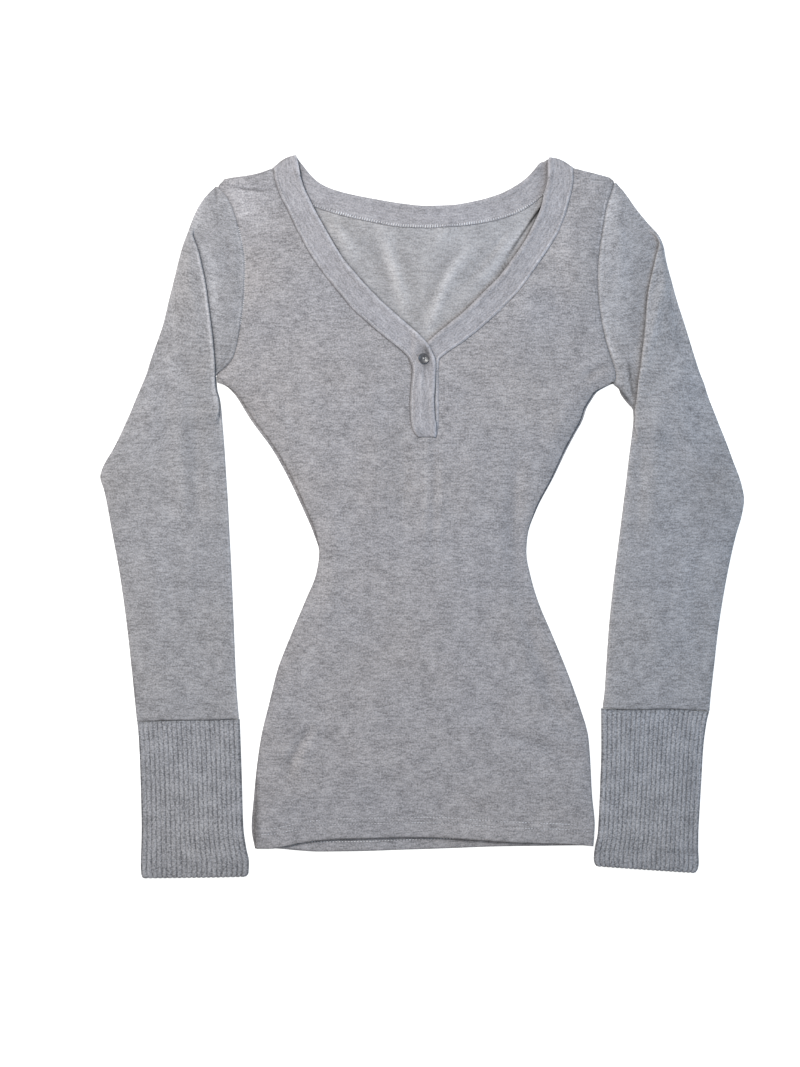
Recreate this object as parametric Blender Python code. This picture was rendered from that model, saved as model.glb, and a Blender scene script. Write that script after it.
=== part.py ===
"""A fitted long-sleeved V-neck knit top with a one-button placket, laid flat.

The garment lies on its back panel: +X is to the right as one looks down on it, +Y runs from
the hem to the neck and +Z is up, out of its front. Its box stands on the origin.

The tables below are the size sheet of the garment, in millimetres. "x" is measured from the
centre of the placket, and "drop" is measured down from the highest point of the neckband.
Every wall is cloth of a named thickness, and pieces keep a small gap at each seam.
"""
import math
from collections import namedtuple

import bmesh
import bpy
from mathutils import Vector

# Driving dimensions, in metres
BODY_LENGTH = 0.610        # highest point of the neckband down to the hem
SHEET_LENGTH = 610.0       # the body length, in millimetres, that the size sheet is drawn for
SHEET_DEPTH = 634.0        # highest point of the neckband down to the lower cuff, on the sheet

CLOTH_WALL = 0.0012        # fine knit of the body and sleeves
BAND_WALL = 0.0016         # neckband and placket, two layers pressed together
HEM_EXTRA = 0.0006         # what the turned-up hem adds to the wall
SEAM_GAP = 0.0003          # between two pieces where they are sewn
NECK_INSET = 0.00018       # each piece's share of the gap at the neck's seam
ARMHOLE_INSET = 0.00024    # and at the armhole, whose seam slants across the sections
FOLD_RADIUS = 0.00075      # middle of the wall at a folded edge

FRONT_CROWN = 0.0014       # how far the front stands off the back in its middle
SLEEVE_CROWN = 0.0008      # the same for the top of a sleeve
CUFF_CROWN = 0.0006        # and for the top of a cuff
BAND_ARCH = 0.0024         # how far the neckband's shoulder end bows up
RIDGE_RISE = 0.0003        # rolled inner edge of the neckband
RIDGE_SHARES = (0.72, 1.28)  # where the roll begins and would end, as shares of the band's width

RIB_PITCH = 0.0044         # rib to rib across a cuff
RIB_RISE = 0.00045         # crest of a rib above the valley beside it
RIB_STEPS = 4              # points along one rib

BUTTON_RADIUS = 0.0045
BUTTON_THICKNESS = 0.0019
BUTTON_HOLE_RADIUS = 0.0006
BUTTON_HOLE_SPACING = 0.0011
BUTTON_SEGMENTS, HOLE_SEGMENTS = 28, 10
BUTTON_X, BUTTON_DROP = 0.8, 178.5

PANEL_COLUMNS = 6          # columns of faces across half of the front
BACK_COLUMNS = 4           # and across half of the back
SLEEVE_COLUMNS = 4         # columns of faces across each layer of a sleeve
CUFF_COLUMNS = 8           # columns of faces across the inside of a cuff
ARC_STEPS = 4              # faces around a folded edge
WIDE_BAND_SHARES = (0.0, 0.12, 0.28, 0.5, 0.72, 0.86, 1.0)  # columns across the left band
BAND_SHARES = (0.0, 0.25, 0.5, 0.75, 1.0)                   # and across the other two

# Heights of the layers above the surface that the garment lies on
FRONT_BASE = CLOTH_WALL + SEAM_GAP
BAND_BASE = BAND_WALL + SEAM_GAP
OVERLAP_BASE = BAND_BASE + BAND_WALL + SEAM_GAP
SLOT_X = (-10.5, 15.5)     # sides of the placket's slot in the front, on the size sheet
SLOT_DROP = 247.5          # and its lower end
OVERLAP_X = (-10.5, -5.5)  # the left band climbs onto the right band between these
CENTRE_X = 2.0             # middle of the back
YOKE_END, WAIST_START = 190.0, 300.0     # the front's crown moves to the middle between these
HEM_DROPS = (560.0, 580.0, 600.0)        # the front climbs onto the back's hem, then settles
HEM_SETTLE = 0.6           # share of the front's crown that is lost at the hem
CROWDED_ROOM = (0.001, 0.012)  # from a fold to the sleeve's edge: the edge rounds up to the fold
LEAST_RUN = 0.0001         # shortest stretch of cloth between two points of a section
LEAST_TURN = 0.0001        # a fold that is still flat cloth, in radians


def table(columns, *rows):
    """Rows of a size sheet, as records with named columns."""
    record = namedtuple("Row", columns)
    return [record(*row) for row in rows]


YOKE_FIELDS = "arm_x arm_drop neck_x neck_drop inner_x inner_drop back_x back_drop"
# One row for each section from the armhole over the yoke to the neckband's seam and its inner
# edge. "back" is the matching point on the back's neck seam, or on its middle further down.
LEFT_YOKE = table(
    YOKE_FIELDS,
    (-174.0, 20.5, -131.0, 11.0, -111.0, 0.0, -131.0, 11.5),
    (-179.5, 27.0, -130.5, 14.5, -109.0, 7.5, -128.5, 16.0),
    (-175.0, 32.0, -130.0, 19.0, -108.0, 13.5, -125.0, 22.5),
    (-170.0, 39.0, -128.0, 26.5, -106.5, 21.0, -116.5, 33.0),
    (-166.0, 48.0, -124.0, 37.0, -103.5, 29.5, -106.0, 40.0),
    (-162.0, 62.0, -118.0, 48.5, -98.5, 40.0, -95.0, 45.0),
    (-158.5, 77.0, -110.0, 65.5, -91.0, 54.5, -72.5, 52.0),
    (-156.0, 93.5, -100.5, 83.0, -82.0, 70.5, -46.0, 58.0),
    (-156.5, 112.0, -90.0, 99.5, -71.5, 88.0, -19.5, 62.5),
    (-157.0, 126.0, -76.0, 117.0, -59.5, 103.0, 2.0, 63.5),
    (-160.0, 149.0, -62.0, 134.0, -46.0, 118.0, 2.0, 95.0),
    (-162.5, 163.5, -46.0, 148.5, -31.0, 132.5, 2.0, 122.0),
    (-166.5, 177.5, -30.5, 161.5, -17.0, 145.0, 2.0, 148.0),
    (-172.5, 185.5, -19.0, 170.5, -4.0, 156.5, 2.0, 168.0),
    (-180.5, 192.0, -12.5, 178.0, 6.0, 168.0, 2.0, 182.0),
    (-180.3, 199.0, -10.5, 188.0, 11.5, 183.0, 2.0, 193.0),
)
RIGHT_YOKE = table(
    YOKE_FIELDS,
    (166.0, 20.5, 132.0, 11.0, 111.0, 2.0, 131.5, 11.5),
    (168.0, 24.0, 132.5, 15.0, 110.0, 8.0, 129.0, 16.5),
    (166.5, 30.5, 132.5, 21.0, 110.0, 16.0, 126.0, 21.5),
    (164.5, 36.5, 131.5, 28.5, 109.5, 24.0, 117.0, 28.5),
    (161.5, 46.5, 129.0, 39.0, 107.0, 33.0, 106.0, 35.5),
    (159.0, 61.0, 126.0, 50.5, 104.5, 44.5, 94.5, 44.5),
    (156.5, 77.0, 119.0, 68.0, 99.5, 56.5, 77.0, 53.0),
    (154.5, 93.5, 107.5, 86.5, 90.0, 75.0, 50.5, 59.5),
    (154.0, 109.5, 97.7, 101.0, 80.5, 89.0, 24.0, 62.5),
    (154.5, 124.0, 85.0, 119.0, 68.0, 106.0, 2.0, 63.5),
    (158.0, 148.0, 70.0, 134.5, 54.0, 120.0, 2.0, 95.0),
    (161.0, 162.0, 53.5, 149.5, 38.0, 136.0, 2.0, 122.0),
    (166.5, 179.5, 36.0, 163.5, 21.5, 149.5, 2.0, 148.0),
    (169.5, 189.0, 22.0, 174.0, 9.0, 160.0, 2.0, 168.0),
    (170.0, 195.5, 16.2, 181.0, -2.0, 173.0, 2.0, 182.0),
    (167.0, 200.0, 15.5, 190.0, -4.0, 190.0, 2.0, 193.0),
)

# One row for each section of the body below the armholes. The back shows a little outside the
# front where the side seams roll under. "middle" is the row's drop at the centre.
BODY = table(
    "drop back_left front_left front_right back_right middle",
    (201.0, -174.7, -174.2, 164.3, 165.0, 195.0),
    (207.5, -167.0, -164.5, 151.0, 153.5, 204.0),
    (214.0, -162.0, -159.0, 146.5, 149.0, 214.0),
    (221.5, -157.5, -154.0, 142.0, 144.5, 225.0),
    (232.0, -151.0, -147.5, 138.5, 141.0, 236.0),
    (243.0, -143.0, -139.0, 132.5, 135.0, 247.5),
    (255.0, -134.0, -130.0, 126.0, 128.5, 259.0),
    (283.0, -118.0, -114.0, 113.0, 115.0, 283.0),
    (310.5, -105.0, -101.5, 99.0, 100.5, 310.5),
    (334.0, -95.0, -92.5, 92.0, 92.5, 334.0),
    (348.0, -91.0, -90.5, 91.0, 91.5, 348.0),
    (367.5, -93.5, -93.5, 94.5, 94.5, 367.5),
    (390.0, -102.5, -102.5, 101.0, 101.0, 390.0),
    (423.5, -116.5, -116.5, 115.0, 115.0, 423.5),
    (450.5, -127.0, -127.0, 126.0, 126.0, 450.5),
    (480.5, -134.5, -134.5, 137.0, 137.0, 480.5),
    (509.5, -141.5, -141.5, 145.5, 145.5, 509.5),
    (534.0, -145.5, -145.0, 147.5, 147.5, 534.0),
    (564.0, -148.5, -146.0, 149.0, 149.5, 562.0),
)

# The hems: the row of stitches, the step onto the turned cloth just below it, and the edge.
HEM_FIELDS = "left_x left_drop middle_drop right_drop right_x extra"
FRONT_HEM = table(
    HEM_FIELDS,
    (-146.0, 590.5, 580.5, 587.5, 150.5, 0.0),
    (-146.0, 592.0, 582.0, 589.0, 150.5, 1.0),
    (-145.5, 608.5, 598.5, 605.5, 147.5, 1.0),
)
BACK_HEM = table(
    HEM_FIELDS,
    (-150.0, 591.0, 591.5, 588.0, 151.5, 0.0),
    (-150.0, 592.5, 593.0, 589.5, 151.5, 1.0),
    (-146.0, 609.0, 610.3, 605.5, 148.0, 1.0),
)

# The placket: the left band runs on down it, and the right band runs on beneath.
PLACKET = table(
    "drop over_left over_right under_left under_right",
    (204.0, -10.5, 10.8, -4.0, 15.5),
    (217.0, -10.5, 10.2, -4.0, 15.5),
    (230.0, -10.5, 10.8, -4.0, 15.5),
    (238.0, -9.8, 12.0, -4.0, 15.3),
    (242.5, -8.5, 12.0, -4.0, 14.8),
    (246.0, -5.5, 12.0, -4.0, 13.3),
)

# Upper edge of the back's neckband, a point for each of the first rows of the yoke.
BACK_BAND_TOP = table(
    "left_x left_drop right_x right_drop",
    (-110.5, 1.0, 109.5, 3.0),
    (-108.5, 4.0, 107.5, 4.5),
    (-106.0, 7.0, 104.0, 5.5),
    (-100.5, 14.0, 98.5, 11.5),
    (-92.5, 22.0, 91.5, 19.0),
    (-84.0, 27.0, 81.0, 26.5),
    (-67.0, 32.5, 67.0, 33.5),
    (-42.5, 37.5, 46.0, 39.5),
    (-18.0, 41.5, 23.5, 43.0),
    (2.0, 43.5, 2.0, 43.5),
)

# One row for each section of a sleeve. Where "inner" is None the section ends on the armhole.
# The sleeve is turned down over its own cap: "fold" is the edge that lies on top, "tuck" is how
# deep the cloth is tucked under that edge, and "turn" is how far it has turned over, in degrees.
SLEEVE_FIELDS = "drop inner outer slant fold tuck turn"
LEFT_SLEEVE = table(
    SLEEVE_FIELDS,
    (28.5, None, -183.5, 0.0, None, 0.0, 0.0),
    (32.0, None, -187.5, 0.0, None, 0.0, 0.0),
    (39.0, None, -193.5, 0.0, None, 0.0, 0.0),
    (48.0, None, -199.0, 0.0, None, 0.0, 0.0),
    (56.0, None, -202.5, 0.0, -195.5, 0.0, 0.0),
    (62.0, None, -204.8, 0.0, -198.5, 0.0, 50.0),
    (66.0, None, -206.0, 0.0, -201.0, 0.0, 110.0),
    (70.0, None, -207.3, 0.0, -201.0, 0.5, 180.0),
    (77.0, None, -210.2, 0.0, -198.8, 2.0, 180.0),
    (83.0, None, -212.2, 0.0, -196.5, 3.5, 180.0),
    (93.5, None, -215.0, 0.0, -194.0, 6.0, 180.0),
    (112.0, None, -219.5, 0.0, -190.0, 10.0, 180.0),
    (126.0, None, -223.0, 0.0, -188.0, 13.0, 180.0),
    (149.0, None, -228.5, 0.0, -185.0, 17.0, 180.0),
    (163.5, None, -233.5, 0.0, -183.3, 20.0, 180.0),
    (177.5, None, -238.5, 0.0, -182.2, 22.0, 180.0),
    (185.5, None, -241.0, 0.0, -181.8, 23.0, 180.0),
    (192.0, None, -243.0, 0.0, -181.8, 23.0, 180.0),
    (194.0, -181.0, -243.8, 0.0, -182.0, 22.5, 180.0),
    (204.0, -180.4, -248.0, 0.0, -181.5, 17.0, 180.0),
    (214.5, -177.8, -252.5, 0.0, -179.0, 9.0, 180.0),
    (222.0, -176.8, -255.5, 0.0, -178.2, 2.5, 180.0),
    (228.0, -176.2, -258.0, 0.0, -178.8, 0.5, 110.0),
    (234.0, -175.8, -260.8, 0.0, -179.3, 0.0, 50.0),
    (240.0, -175.3, -263.5, 0.0, -179.3, 0.0, 0.0),
    (256.5, -174.0, -271.5, 0.0, None, 0.0, 0.0),
    (275.0, -172.8, -280.0, 0.0, None, 0.0, 0.0),
    (281.5, -172.4, -283.0, 0.0, None, 0.0, 0.0),
    (293.5, -171.6, -280.2, 0.0, None, 0.0, 0.0),
    (328.5, -169.7, -273.5, 0.0, None, 0.0, 0.0),
    (365.5, -167.8, -266.7, 0.0, None, 0.0, 0.0),
    (411.0, -165.8, -260.3, 0.0, None, 0.0, 0.0),
    (450.0, -164.3, -256.0, 0.0, None, 0.0, 0.0),
    (473.5, -163.0, -253.5, 1.0, None, 0.0, 0.0),
    (494.6, -161.2, -251.3, 2.2, None, 0.0, 0.0),
)
RIGHT_SLEEVE = table(
    SLEEVE_FIELDS,
    (27.0, None, 173.0, 0.0, None, 0.0, 0.0),
    (30.5, None, 176.5, 0.0, None, 0.0, 0.0),
    (36.5, None, 181.0, 0.0, None, 0.0, 0.0),
    (46.5, None, 188.0, 0.0, None, 0.0, 0.0),
    (54.0, None, 194.0, 0.0, None, 0.0, 0.0),
    (61.0, None, 200.0, 0.0, 195.5, 0.0, 0.0),
    (68.0, None, 206.3, 0.0, 200.8, 0.0, 50.0),
    (70.3, None, 207.8, 0.0, 202.3, 0.0, 80.0),
    (72.5, None, 209.0, 0.0, 203.7, 0.0, 110.0),
    (77.0, None, 211.0, 0.0, 206.4, 0.3, 180.0),
    (81.0, None, 212.2, 0.0, 206.0, 1.0, 180.0),
    (87.5, None, 213.3, 0.0, 204.3, 2.5, 180.0),
    (93.5, None, 214.5, 0.0, 203.2, 4.0, 180.0),
    (109.5, None, 219.0, 0.0, 199.7, 8.0, 180.0),
    (124.0, None, 223.0, 0.0, 197.0, 12.0, 180.0),
    (148.0, None, 230.7, 0.0, 195.0, 17.0, 180.0),
    (162.0, None, 235.0, 0.0, 193.6, 20.0, 180.0),
    (179.5, None, 240.4, 0.0, 191.4, 24.0, 180.0),
    (189.0, None, 243.5, 0.0, 190.3, 26.0, 180.0),
    (195.5, None, 246.0, 0.0, 189.2, 27.0, 180.0),
    (200.0, None, 247.8, 0.0, 188.7, 27.5, 180.0),
    (201.2, 168.3, 248.2, 0.0, 188.6, 27.5, 180.0),
    (204.0, 172.0, 249.0, 0.0, 188.3, 27.5, 180.0),
    (209.5, 174.3, 250.7, 0.0, 188.0, 27.0, 180.0),
    (216.5, 179.5, 253.2, 0.0, 187.2, 25.0, 180.0),
    (223.0, 184.8, 255.8, 0.0, 186.3, 20.0, 180.0),
    (231.0, 185.3, 259.0, 0.0, 186.6, 11.0, 180.0),
    (237.5, 184.8, 261.5, 0.0, 186.2, 2.5, 180.0),
    (243.0, 184.2, 263.8, 0.0, 186.8, 0.5, 110.0),
    (249.0, 183.5, 266.2, 0.0, 187.0, 0.0, 50.0),
    (255.0, 182.7, 268.5, 0.0, 186.6, 0.0, 0.0),
    (266.5, 181.2, 272.7, 0.0, None, 0.0, 0.0),
    (290.0, 178.5, 281.0, 0.0, None, 0.0, 0.0),
    (302.0, 177.0, 283.0, 0.0, None, 0.0, 0.0),
    (315.5, 175.3, 281.0, 0.0, None, 0.0, 0.0),
    (332.0, 173.2, 276.2, 0.0, None, 0.0, 0.0),
    (354.0, 170.4, 271.0, 0.0, None, 0.0, 0.0),
    (382.0, 167.0, 265.6, 0.0, None, 0.0, 0.0),
    (416.5, 163.6, 260.2, 0.0, None, 0.0, 0.0),
    (450.0, 161.3, 256.4, 0.0, None, 0.0, 0.0),
    (470.0, 160.0, 254.0, 0.8, None, 0.0, 0.0),
    (485.4, 158.2, 252.5, 1.6, None, 0.0, 0.0),
)

# One row for each section of a cuff, from the sleeve's seam to the wrist.
CUFF_FIELDS = "drop inner outer slant"
LEFT_CUFF = table(
    CUFF_FIELDS,
    (495.0, -160.5, -251.0, 2.2),
    (513.0, -159.8, -249.5, 1.5),
    (552.0, -158.5, -248.0, 1.0),
    (590.0, -157.3, -247.2, 1.0),
    (610.0, -154.5, -247.5, 1.0),
    (620.0, -152.8, -247.8, 1.8),
    (631.0, -153.2, -246.2, 3.0),
)
RIGHT_CUFF = table(
    CUFF_FIELDS,
    (485.8, 156.8, 252.3, 1.6),
    (497.0, 156.7, 249.0, 1.0),
    (522.0, 156.7, 246.0, 0.5),
    (547.0, 156.0, 244.0, 0.5),
    (572.0, 154.8, 242.4, 0.5),
    (596.0, 153.3, 241.5, 0.5),
    (609.0, 150.9, 241.2, 1.5),
    (617.0, 150.3, 242.0, 3.0),
    (623.0, 152.0, 241.0, 6.0),
)

SHEET_UNIT = BODY_LENGTH / SHEET_LENGTH


def place(x, drop):
    """A place on the size sheet as metres across and up from the middle of the garment."""
    return x * SHEET_UNIT, (SHEET_DEPTH / 2 - drop) * SHEET_UNIT


def mix(a, b, share):
    return a + (b - a) * share


def ease(value, start=0.0, end=1.0):
    """Climb smoothly from 0 at start to 1 at end."""
    share = min(1.0, max(0.0, (value - start) / (end - start)))
    return share * share * (3.0 - 2.0 * share)


def step_from(near, far, distance):
    """The point a distance from one point towards another, in the plane of the cloth."""
    length = math.hypot(far[0] - near[0], far[1] - near[1])
    return mix(near[0], far[0], distance / length), mix(near[1], far[1], distance / length)


class Cloth:
    """Faces of a cloth wall, each point with its place on the wall's two sides."""

    def __init__(self):
        self.sides = {}
        self.faces = []

    def add_point(self, key, under, over):
        self.sides[key] = (Vector(under), Vector(over))

    def add_face(self, keys):
        """A face named anticlockwise as seen from the wall's upper or outer side."""
        loop = [key for number, key in enumerate(keys) if key != keys[number - 1]]
        if len(loop) > 2:
            self.faces.append(loop)

    def open_edges(self):
        edges = {(loop[i - 1], loop[i]) for loop in self.faces for i in range(len(loop))}
        return [edge for edge in sorted(edges) if (edge[1], edge[0]) not in edges]

    def build(self, name, material):
        """Both sides of the wall and a rim along its open edges, as one closed solid."""
        shape = bmesh.new()
        under = {key: shape.verts.new(sides[0]) for key, sides in self.sides.items()}
        over = {key: shape.verts.new(sides[1]) for key, sides in self.sides.items()}
        for loop in self.faces:
            shape.faces.new([over[key] for key in loop])
            shape.faces.new([under[key] for key in reversed(loop)])
        for start, end in self.open_edges():
            shape.faces.new((under[start], under[end], over[end], over[start]))
        return finish_object(name, shape, material)


def finish_object(name, shape, material):
    mesh = bpy.data.meshes.new(name)
    shape.to_mesh(mesh)
    shape.free()
    mesh.materials.append(material)
    solid = bpy.data.objects.new(name, mesh)
    bpy.context.collection.objects.link(solid)
    return solid


def make_material(name, colour, roughness):
    material = bpy.data.materials.new(name)
    material.use_nodes = True
    shader = material.node_tree.nodes["Principled BSDF"]
    shader.inputs["Base Color"].default_value = (*colour, 1.0)
    shader.inputs["Roughness"].default_value = roughness
    material.diffuse_color = (*colour, 1.0)
    return material


def add_patch(cloth, rows, flip):
    """Join rows of keys, listed from the top down, with faces that look up."""
    for upper, lower in zip(rows, rows[1:]):
        for column in range(len(upper) - 1):
            loop = [upper[column], lower[column], lower[column + 1], upper[column + 1]]
            cloth.add_face(loop[::-1] if flip else loop)


def panel_row(outer, inner, columns, bend=None):
    """Points of one section from its side to the middle; bend shares out its drop."""
    shares = [column / columns for column in range(columns + 1)]
    return [(mix(outer[0], inner[0], share), mix(outer[1], inner[1], bend(share) if bend else share))
            for share in shares]


def armhole_side(row, sign):
    """A row's point on the armhole, drawn in by the panel's share of the seam's gap."""
    x, y = place(row.arm_x, row.arm_drop)
    return x - sign * ARMHOLE_INSET, y


def panel_sections(side, sign, is_front, columns):
    """Rows of points of one half of a panel, from the shoulder to the hem, with wall extras."""
    rows = []
    for number, row in enumerate(LEFT_YOKE if side == "left" else RIGHT_YOKE):
        inner = place(row.neck_x, row.neck_drop) if is_front else place(row.back_x, row.back_drop)
        outer = armhole_side(row, sign)
        on_seam = is_front or number < len(BACK_BAND_TOP)
        inner = step_from(inner, outer, NECK_INSET if on_seam else 0.0)
        rows.append((panel_row(outer, inner, columns), 0.0))
    slot_x = (SLOT_X[0] if side == "left" else SLOT_X[1]) if is_front else CENTRE_X
    edge = ("front_" if is_front else "back_") + side
    gap = SEAM_GAP / 2 if is_front else 0.0
    for row in BODY:
        outer = place(getattr(row, edge), row.drop)
        x, y = place(slot_x, row.middle)
        rows.append((panel_row(outer, (x + sign * gap, y), columns), 0.0))
    for row in (FRONT_HEM if is_front else BACK_HEM):
        outer = place(getattr(row, side + "_x"), getattr(row, side + "_drop"))
        x, y = place(slot_x, row.middle_drop)
        bend = (lambda share: ease(share, 0.0, 0.5)) if side == "left" else None
        rows.append((panel_row(outer, (x + sign * gap, y), columns, bend), row.extra * HEM_EXTRA))
    return rows


def front_lift(share, drop):
    """How far the front stands off the back, by its place across one half and its drop."""
    yoke = 4.0 * share * (1.0 - share)
    waist = 1.0 - (1.0 - share) ** 2
    settled = 1.0 - HEM_SETTLE * ease(drop, HEM_DROPS[0], HEM_DROPS[2])
    return FRONT_CROWN * mix(yoke, waist, ease(drop, YOKE_END, WAIST_START)) * settled


def sheet_drop(y):
    return SHEET_DEPTH / 2 - y / SHEET_UNIT


def make_front(material):
    cloth = Cloth()
    edges = {}
    for side, sign in (("left", -1), ("right", 1)):
        keys = []
        for number, (points, extra) in enumerate(panel_sections(side, sign, True, PANEL_COLUMNS)):
            row = []
            for column, (x, y) in enumerate(points):
                drop = sheet_drop(y)
                hem_step = HEM_EXTRA * ease(drop, HEM_DROPS[0], HEM_DROPS[1])
                low = FRONT_BASE + hem_step + front_lift(column / PANEL_COLUMNS, drop)
                key = (side, number, column)
                cloth.add_point(key, (x, y, low), (x, y, low + CLOTH_WALL + extra))
                row.append(key)
            keys.append(row)
        add_patch(cloth, keys, flip=side == "right")
        edges[side] = [row[-1] for row in keys]
    first = len(LEFT_YOKE) + next(i for i, row in enumerate(BODY) if row.middle >= SLOT_DROP)
    for number in range(first, len(edges["left"]) - 1):
        cloth.add_face([edges["left"][number], edges["left"][number + 1],
                        edges["right"][number + 1], edges["right"][number]])
    return cloth.build("front_panel", material)


def make_back(material):
    cloth = Cloth()
    for side, sign in (("left", -1), ("right", 1)):
        keys = []
        for number, (points, extra) in enumerate(panel_sections(side, sign, False, BACK_COLUMNS)):
            row = []
            for column, (x, y) in enumerate(points):
                shared = column == BACK_COLUMNS and number >= len(BACK_BAND_TOP) - 1
                key = ("middle" if shared else side, number, column)
                cloth.add_point(key, (x, y, 0.0), (x, y, CLOTH_WALL + extra))
                row.append(key)
            keys.append(row)
        add_patch(cloth, keys, flip=side == "right")
    return cloth.build("back_panel", material)


def band_rows(sizes, bowed):
    """Rows of (seam point, free edge point, bow) from sizes of (x, drop) at each of the two."""
    rows = []
    for number, (seam, free) in enumerate(sizes):
        seam, free = place(*seam), place(*free)
        rows.append((step_from(seam, free, NECK_INSET), free, BAND_ARCH if number in bowed else 0.0))
    return rows


def add_band(cloth, rows, heights, shares, flip):
    """A strip through the band's rows; heights gives its under and upper side at a point."""
    keys = []
    for number, (seam, free, bow) in enumerate(rows):
        row = []
        for column, share in enumerate(shares):
            x = mix(seam[0], free[0], share)
            y = mix(seam[1], free[1], share) + bow * math.sin(math.pi * share)
            low, high = heights(x, share)
            cloth.add_point((number, column), (x, y, low), (x, y, high))
            row.append((number, column))
        keys.append(row)
    add_patch(cloth, keys, flip)


def make_left_band(material):
    """The left neckband, which turns down at the button and runs on as the placket."""
    def heights(x, share):
        low = mix(BAND_BASE, OVERLAP_BASE, ease(x / SHEET_UNIT, *OVERLAP_X))
        roll = RIDGE_RISE * math.sin(math.pi * ease(share, *RIDGE_SHARES))
        return low, low + BAND_WALL + roll

    sizes = [((row.neck_x, row.neck_drop), (row.inner_x, row.inner_drop)) for row in LEFT_YOKE]
    sizes += [((row.over_left, row.drop), (row.over_right, row.drop)) for row in PLACKET]
    cloth = Cloth()
    add_band(cloth, band_rows(sizes, bowed=[0]), heights, WIDE_BAND_SHARES, flip=False)
    return cloth.build("neckband_left", material)


def make_right_band(material):
    """The right neckband, which passes under the left and runs on as the under placket."""
    sizes = [((row.neck_x, row.neck_drop), (row.inner_x, row.inner_drop)) for row in RIGHT_YOKE]
    sizes += [((row.under_right, row.drop), (row.under_left, row.drop)) for row in PLACKET]
    cloth = Cloth()
    add_band(cloth, band_rows(sizes, bowed=[0]), lambda x, share: (BAND_BASE, BAND_BASE + BAND_WALL),
             BAND_SHARES, flip=True)
    return cloth.build("neckband_right", material)


def make_back_band(material):
    """The neckband along the back of the neck, from shoulder to shoulder."""
    left = [((yoke.back_x, yoke.back_drop), (top.left_x, top.left_drop))
            for yoke, top in zip(LEFT_YOKE, BACK_BAND_TOP)]
    right = [((yoke.back_x, yoke.back_drop), (top.right_x, top.right_drop))
             for yoke, top in zip(RIGHT_YOKE, BACK_BAND_TOP)]
    sizes = left + right[-2::-1]
    cloth = Cloth()
    add_band(cloth, band_rows(sizes, bowed=[0, len(sizes) - 1]), lambda x, share: (0.0, BAND_WALL),
             BAND_SHARES, flip=False)
    return cloth.build("neckband_back", material)


def armhole_x(yoke, drop):
    """Where the armhole seam lies at a drop, along the straight runs between the yoke's rows."""
    for upper, lower in zip(yoke[1:], yoke[2:]):
        if upper.arm_drop <= drop <= lower.arm_drop:
            share = (drop - upper.arm_drop) / (lower.arm_drop - upper.arm_drop)
            return mix(upper.arm_x, lower.arm_x, share)
    raise ValueError("no armhole at this drop")


def arc(centre, radius, start, end, steps):
    """Points of an arc, each with the direction out of the fold."""
    points = []
    for step in range(steps + 1):
        angle = mix(start, end, step / steps)
        out = (math.cos(angle), math.sin(angle))
        points.append(((centre[0] + radius * out[0], centre[1] + radius * out[1]), out))
    return points


def row_inner(row):
    """The inner end of a sleeve's section, which is on the armhole where it states none."""
    return row.inner if row.inner is not None else row.armhole


def fold_reach(row):
    return abs(row.fold - row_inner(row)) * SHEET_UNIT


def tuck_points(row, fold, height):
    """The tucked cloth from the cap layer to the top layer, walked from its lower end.

    The wall turns over by "turn", runs back for "tuck" and turns forward again. The turns keep
    their length while they open out, so that they become flat cloth where the tuck ends.
    """
    turn = max(math.radians(row.turn), LEAST_TURN)
    tuck = row.tuck * SHEET_UNIT
    radius = math.pi * FOLD_RADIUS / turn
    sine, cosine = math.sin(turn), math.cos(turn)
    start = fold + CLOTH_WALL / 2 - radius * sine
    if row.turn > 90.0:
        start += radius * (1.0 - sine) - tuck * cosine
    points = []
    for step in range(ARC_STEPS + 1):
        angle = turn * step / ARC_STEPS
        spot = (start + radius * math.sin(angle), height + radius * (1.0 - math.cos(angle)))
        points.append((spot, (-math.sin(angle), math.cos(angle))))
    back = (start + radius * sine + tuck * cosine, height + radius * (1.0 - cosine) + tuck * sine)
    for step in range(ARC_STEPS + 1):
        angle = turn * (1.0 - step / ARC_STEPS)
        spot = (back[0] + radius * (sine - math.sin(angle)), back[1] + radius * (math.cos(angle) - cosine))
        points.append((spot, (-math.sin(angle), math.cos(angle))))
    return points


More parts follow.
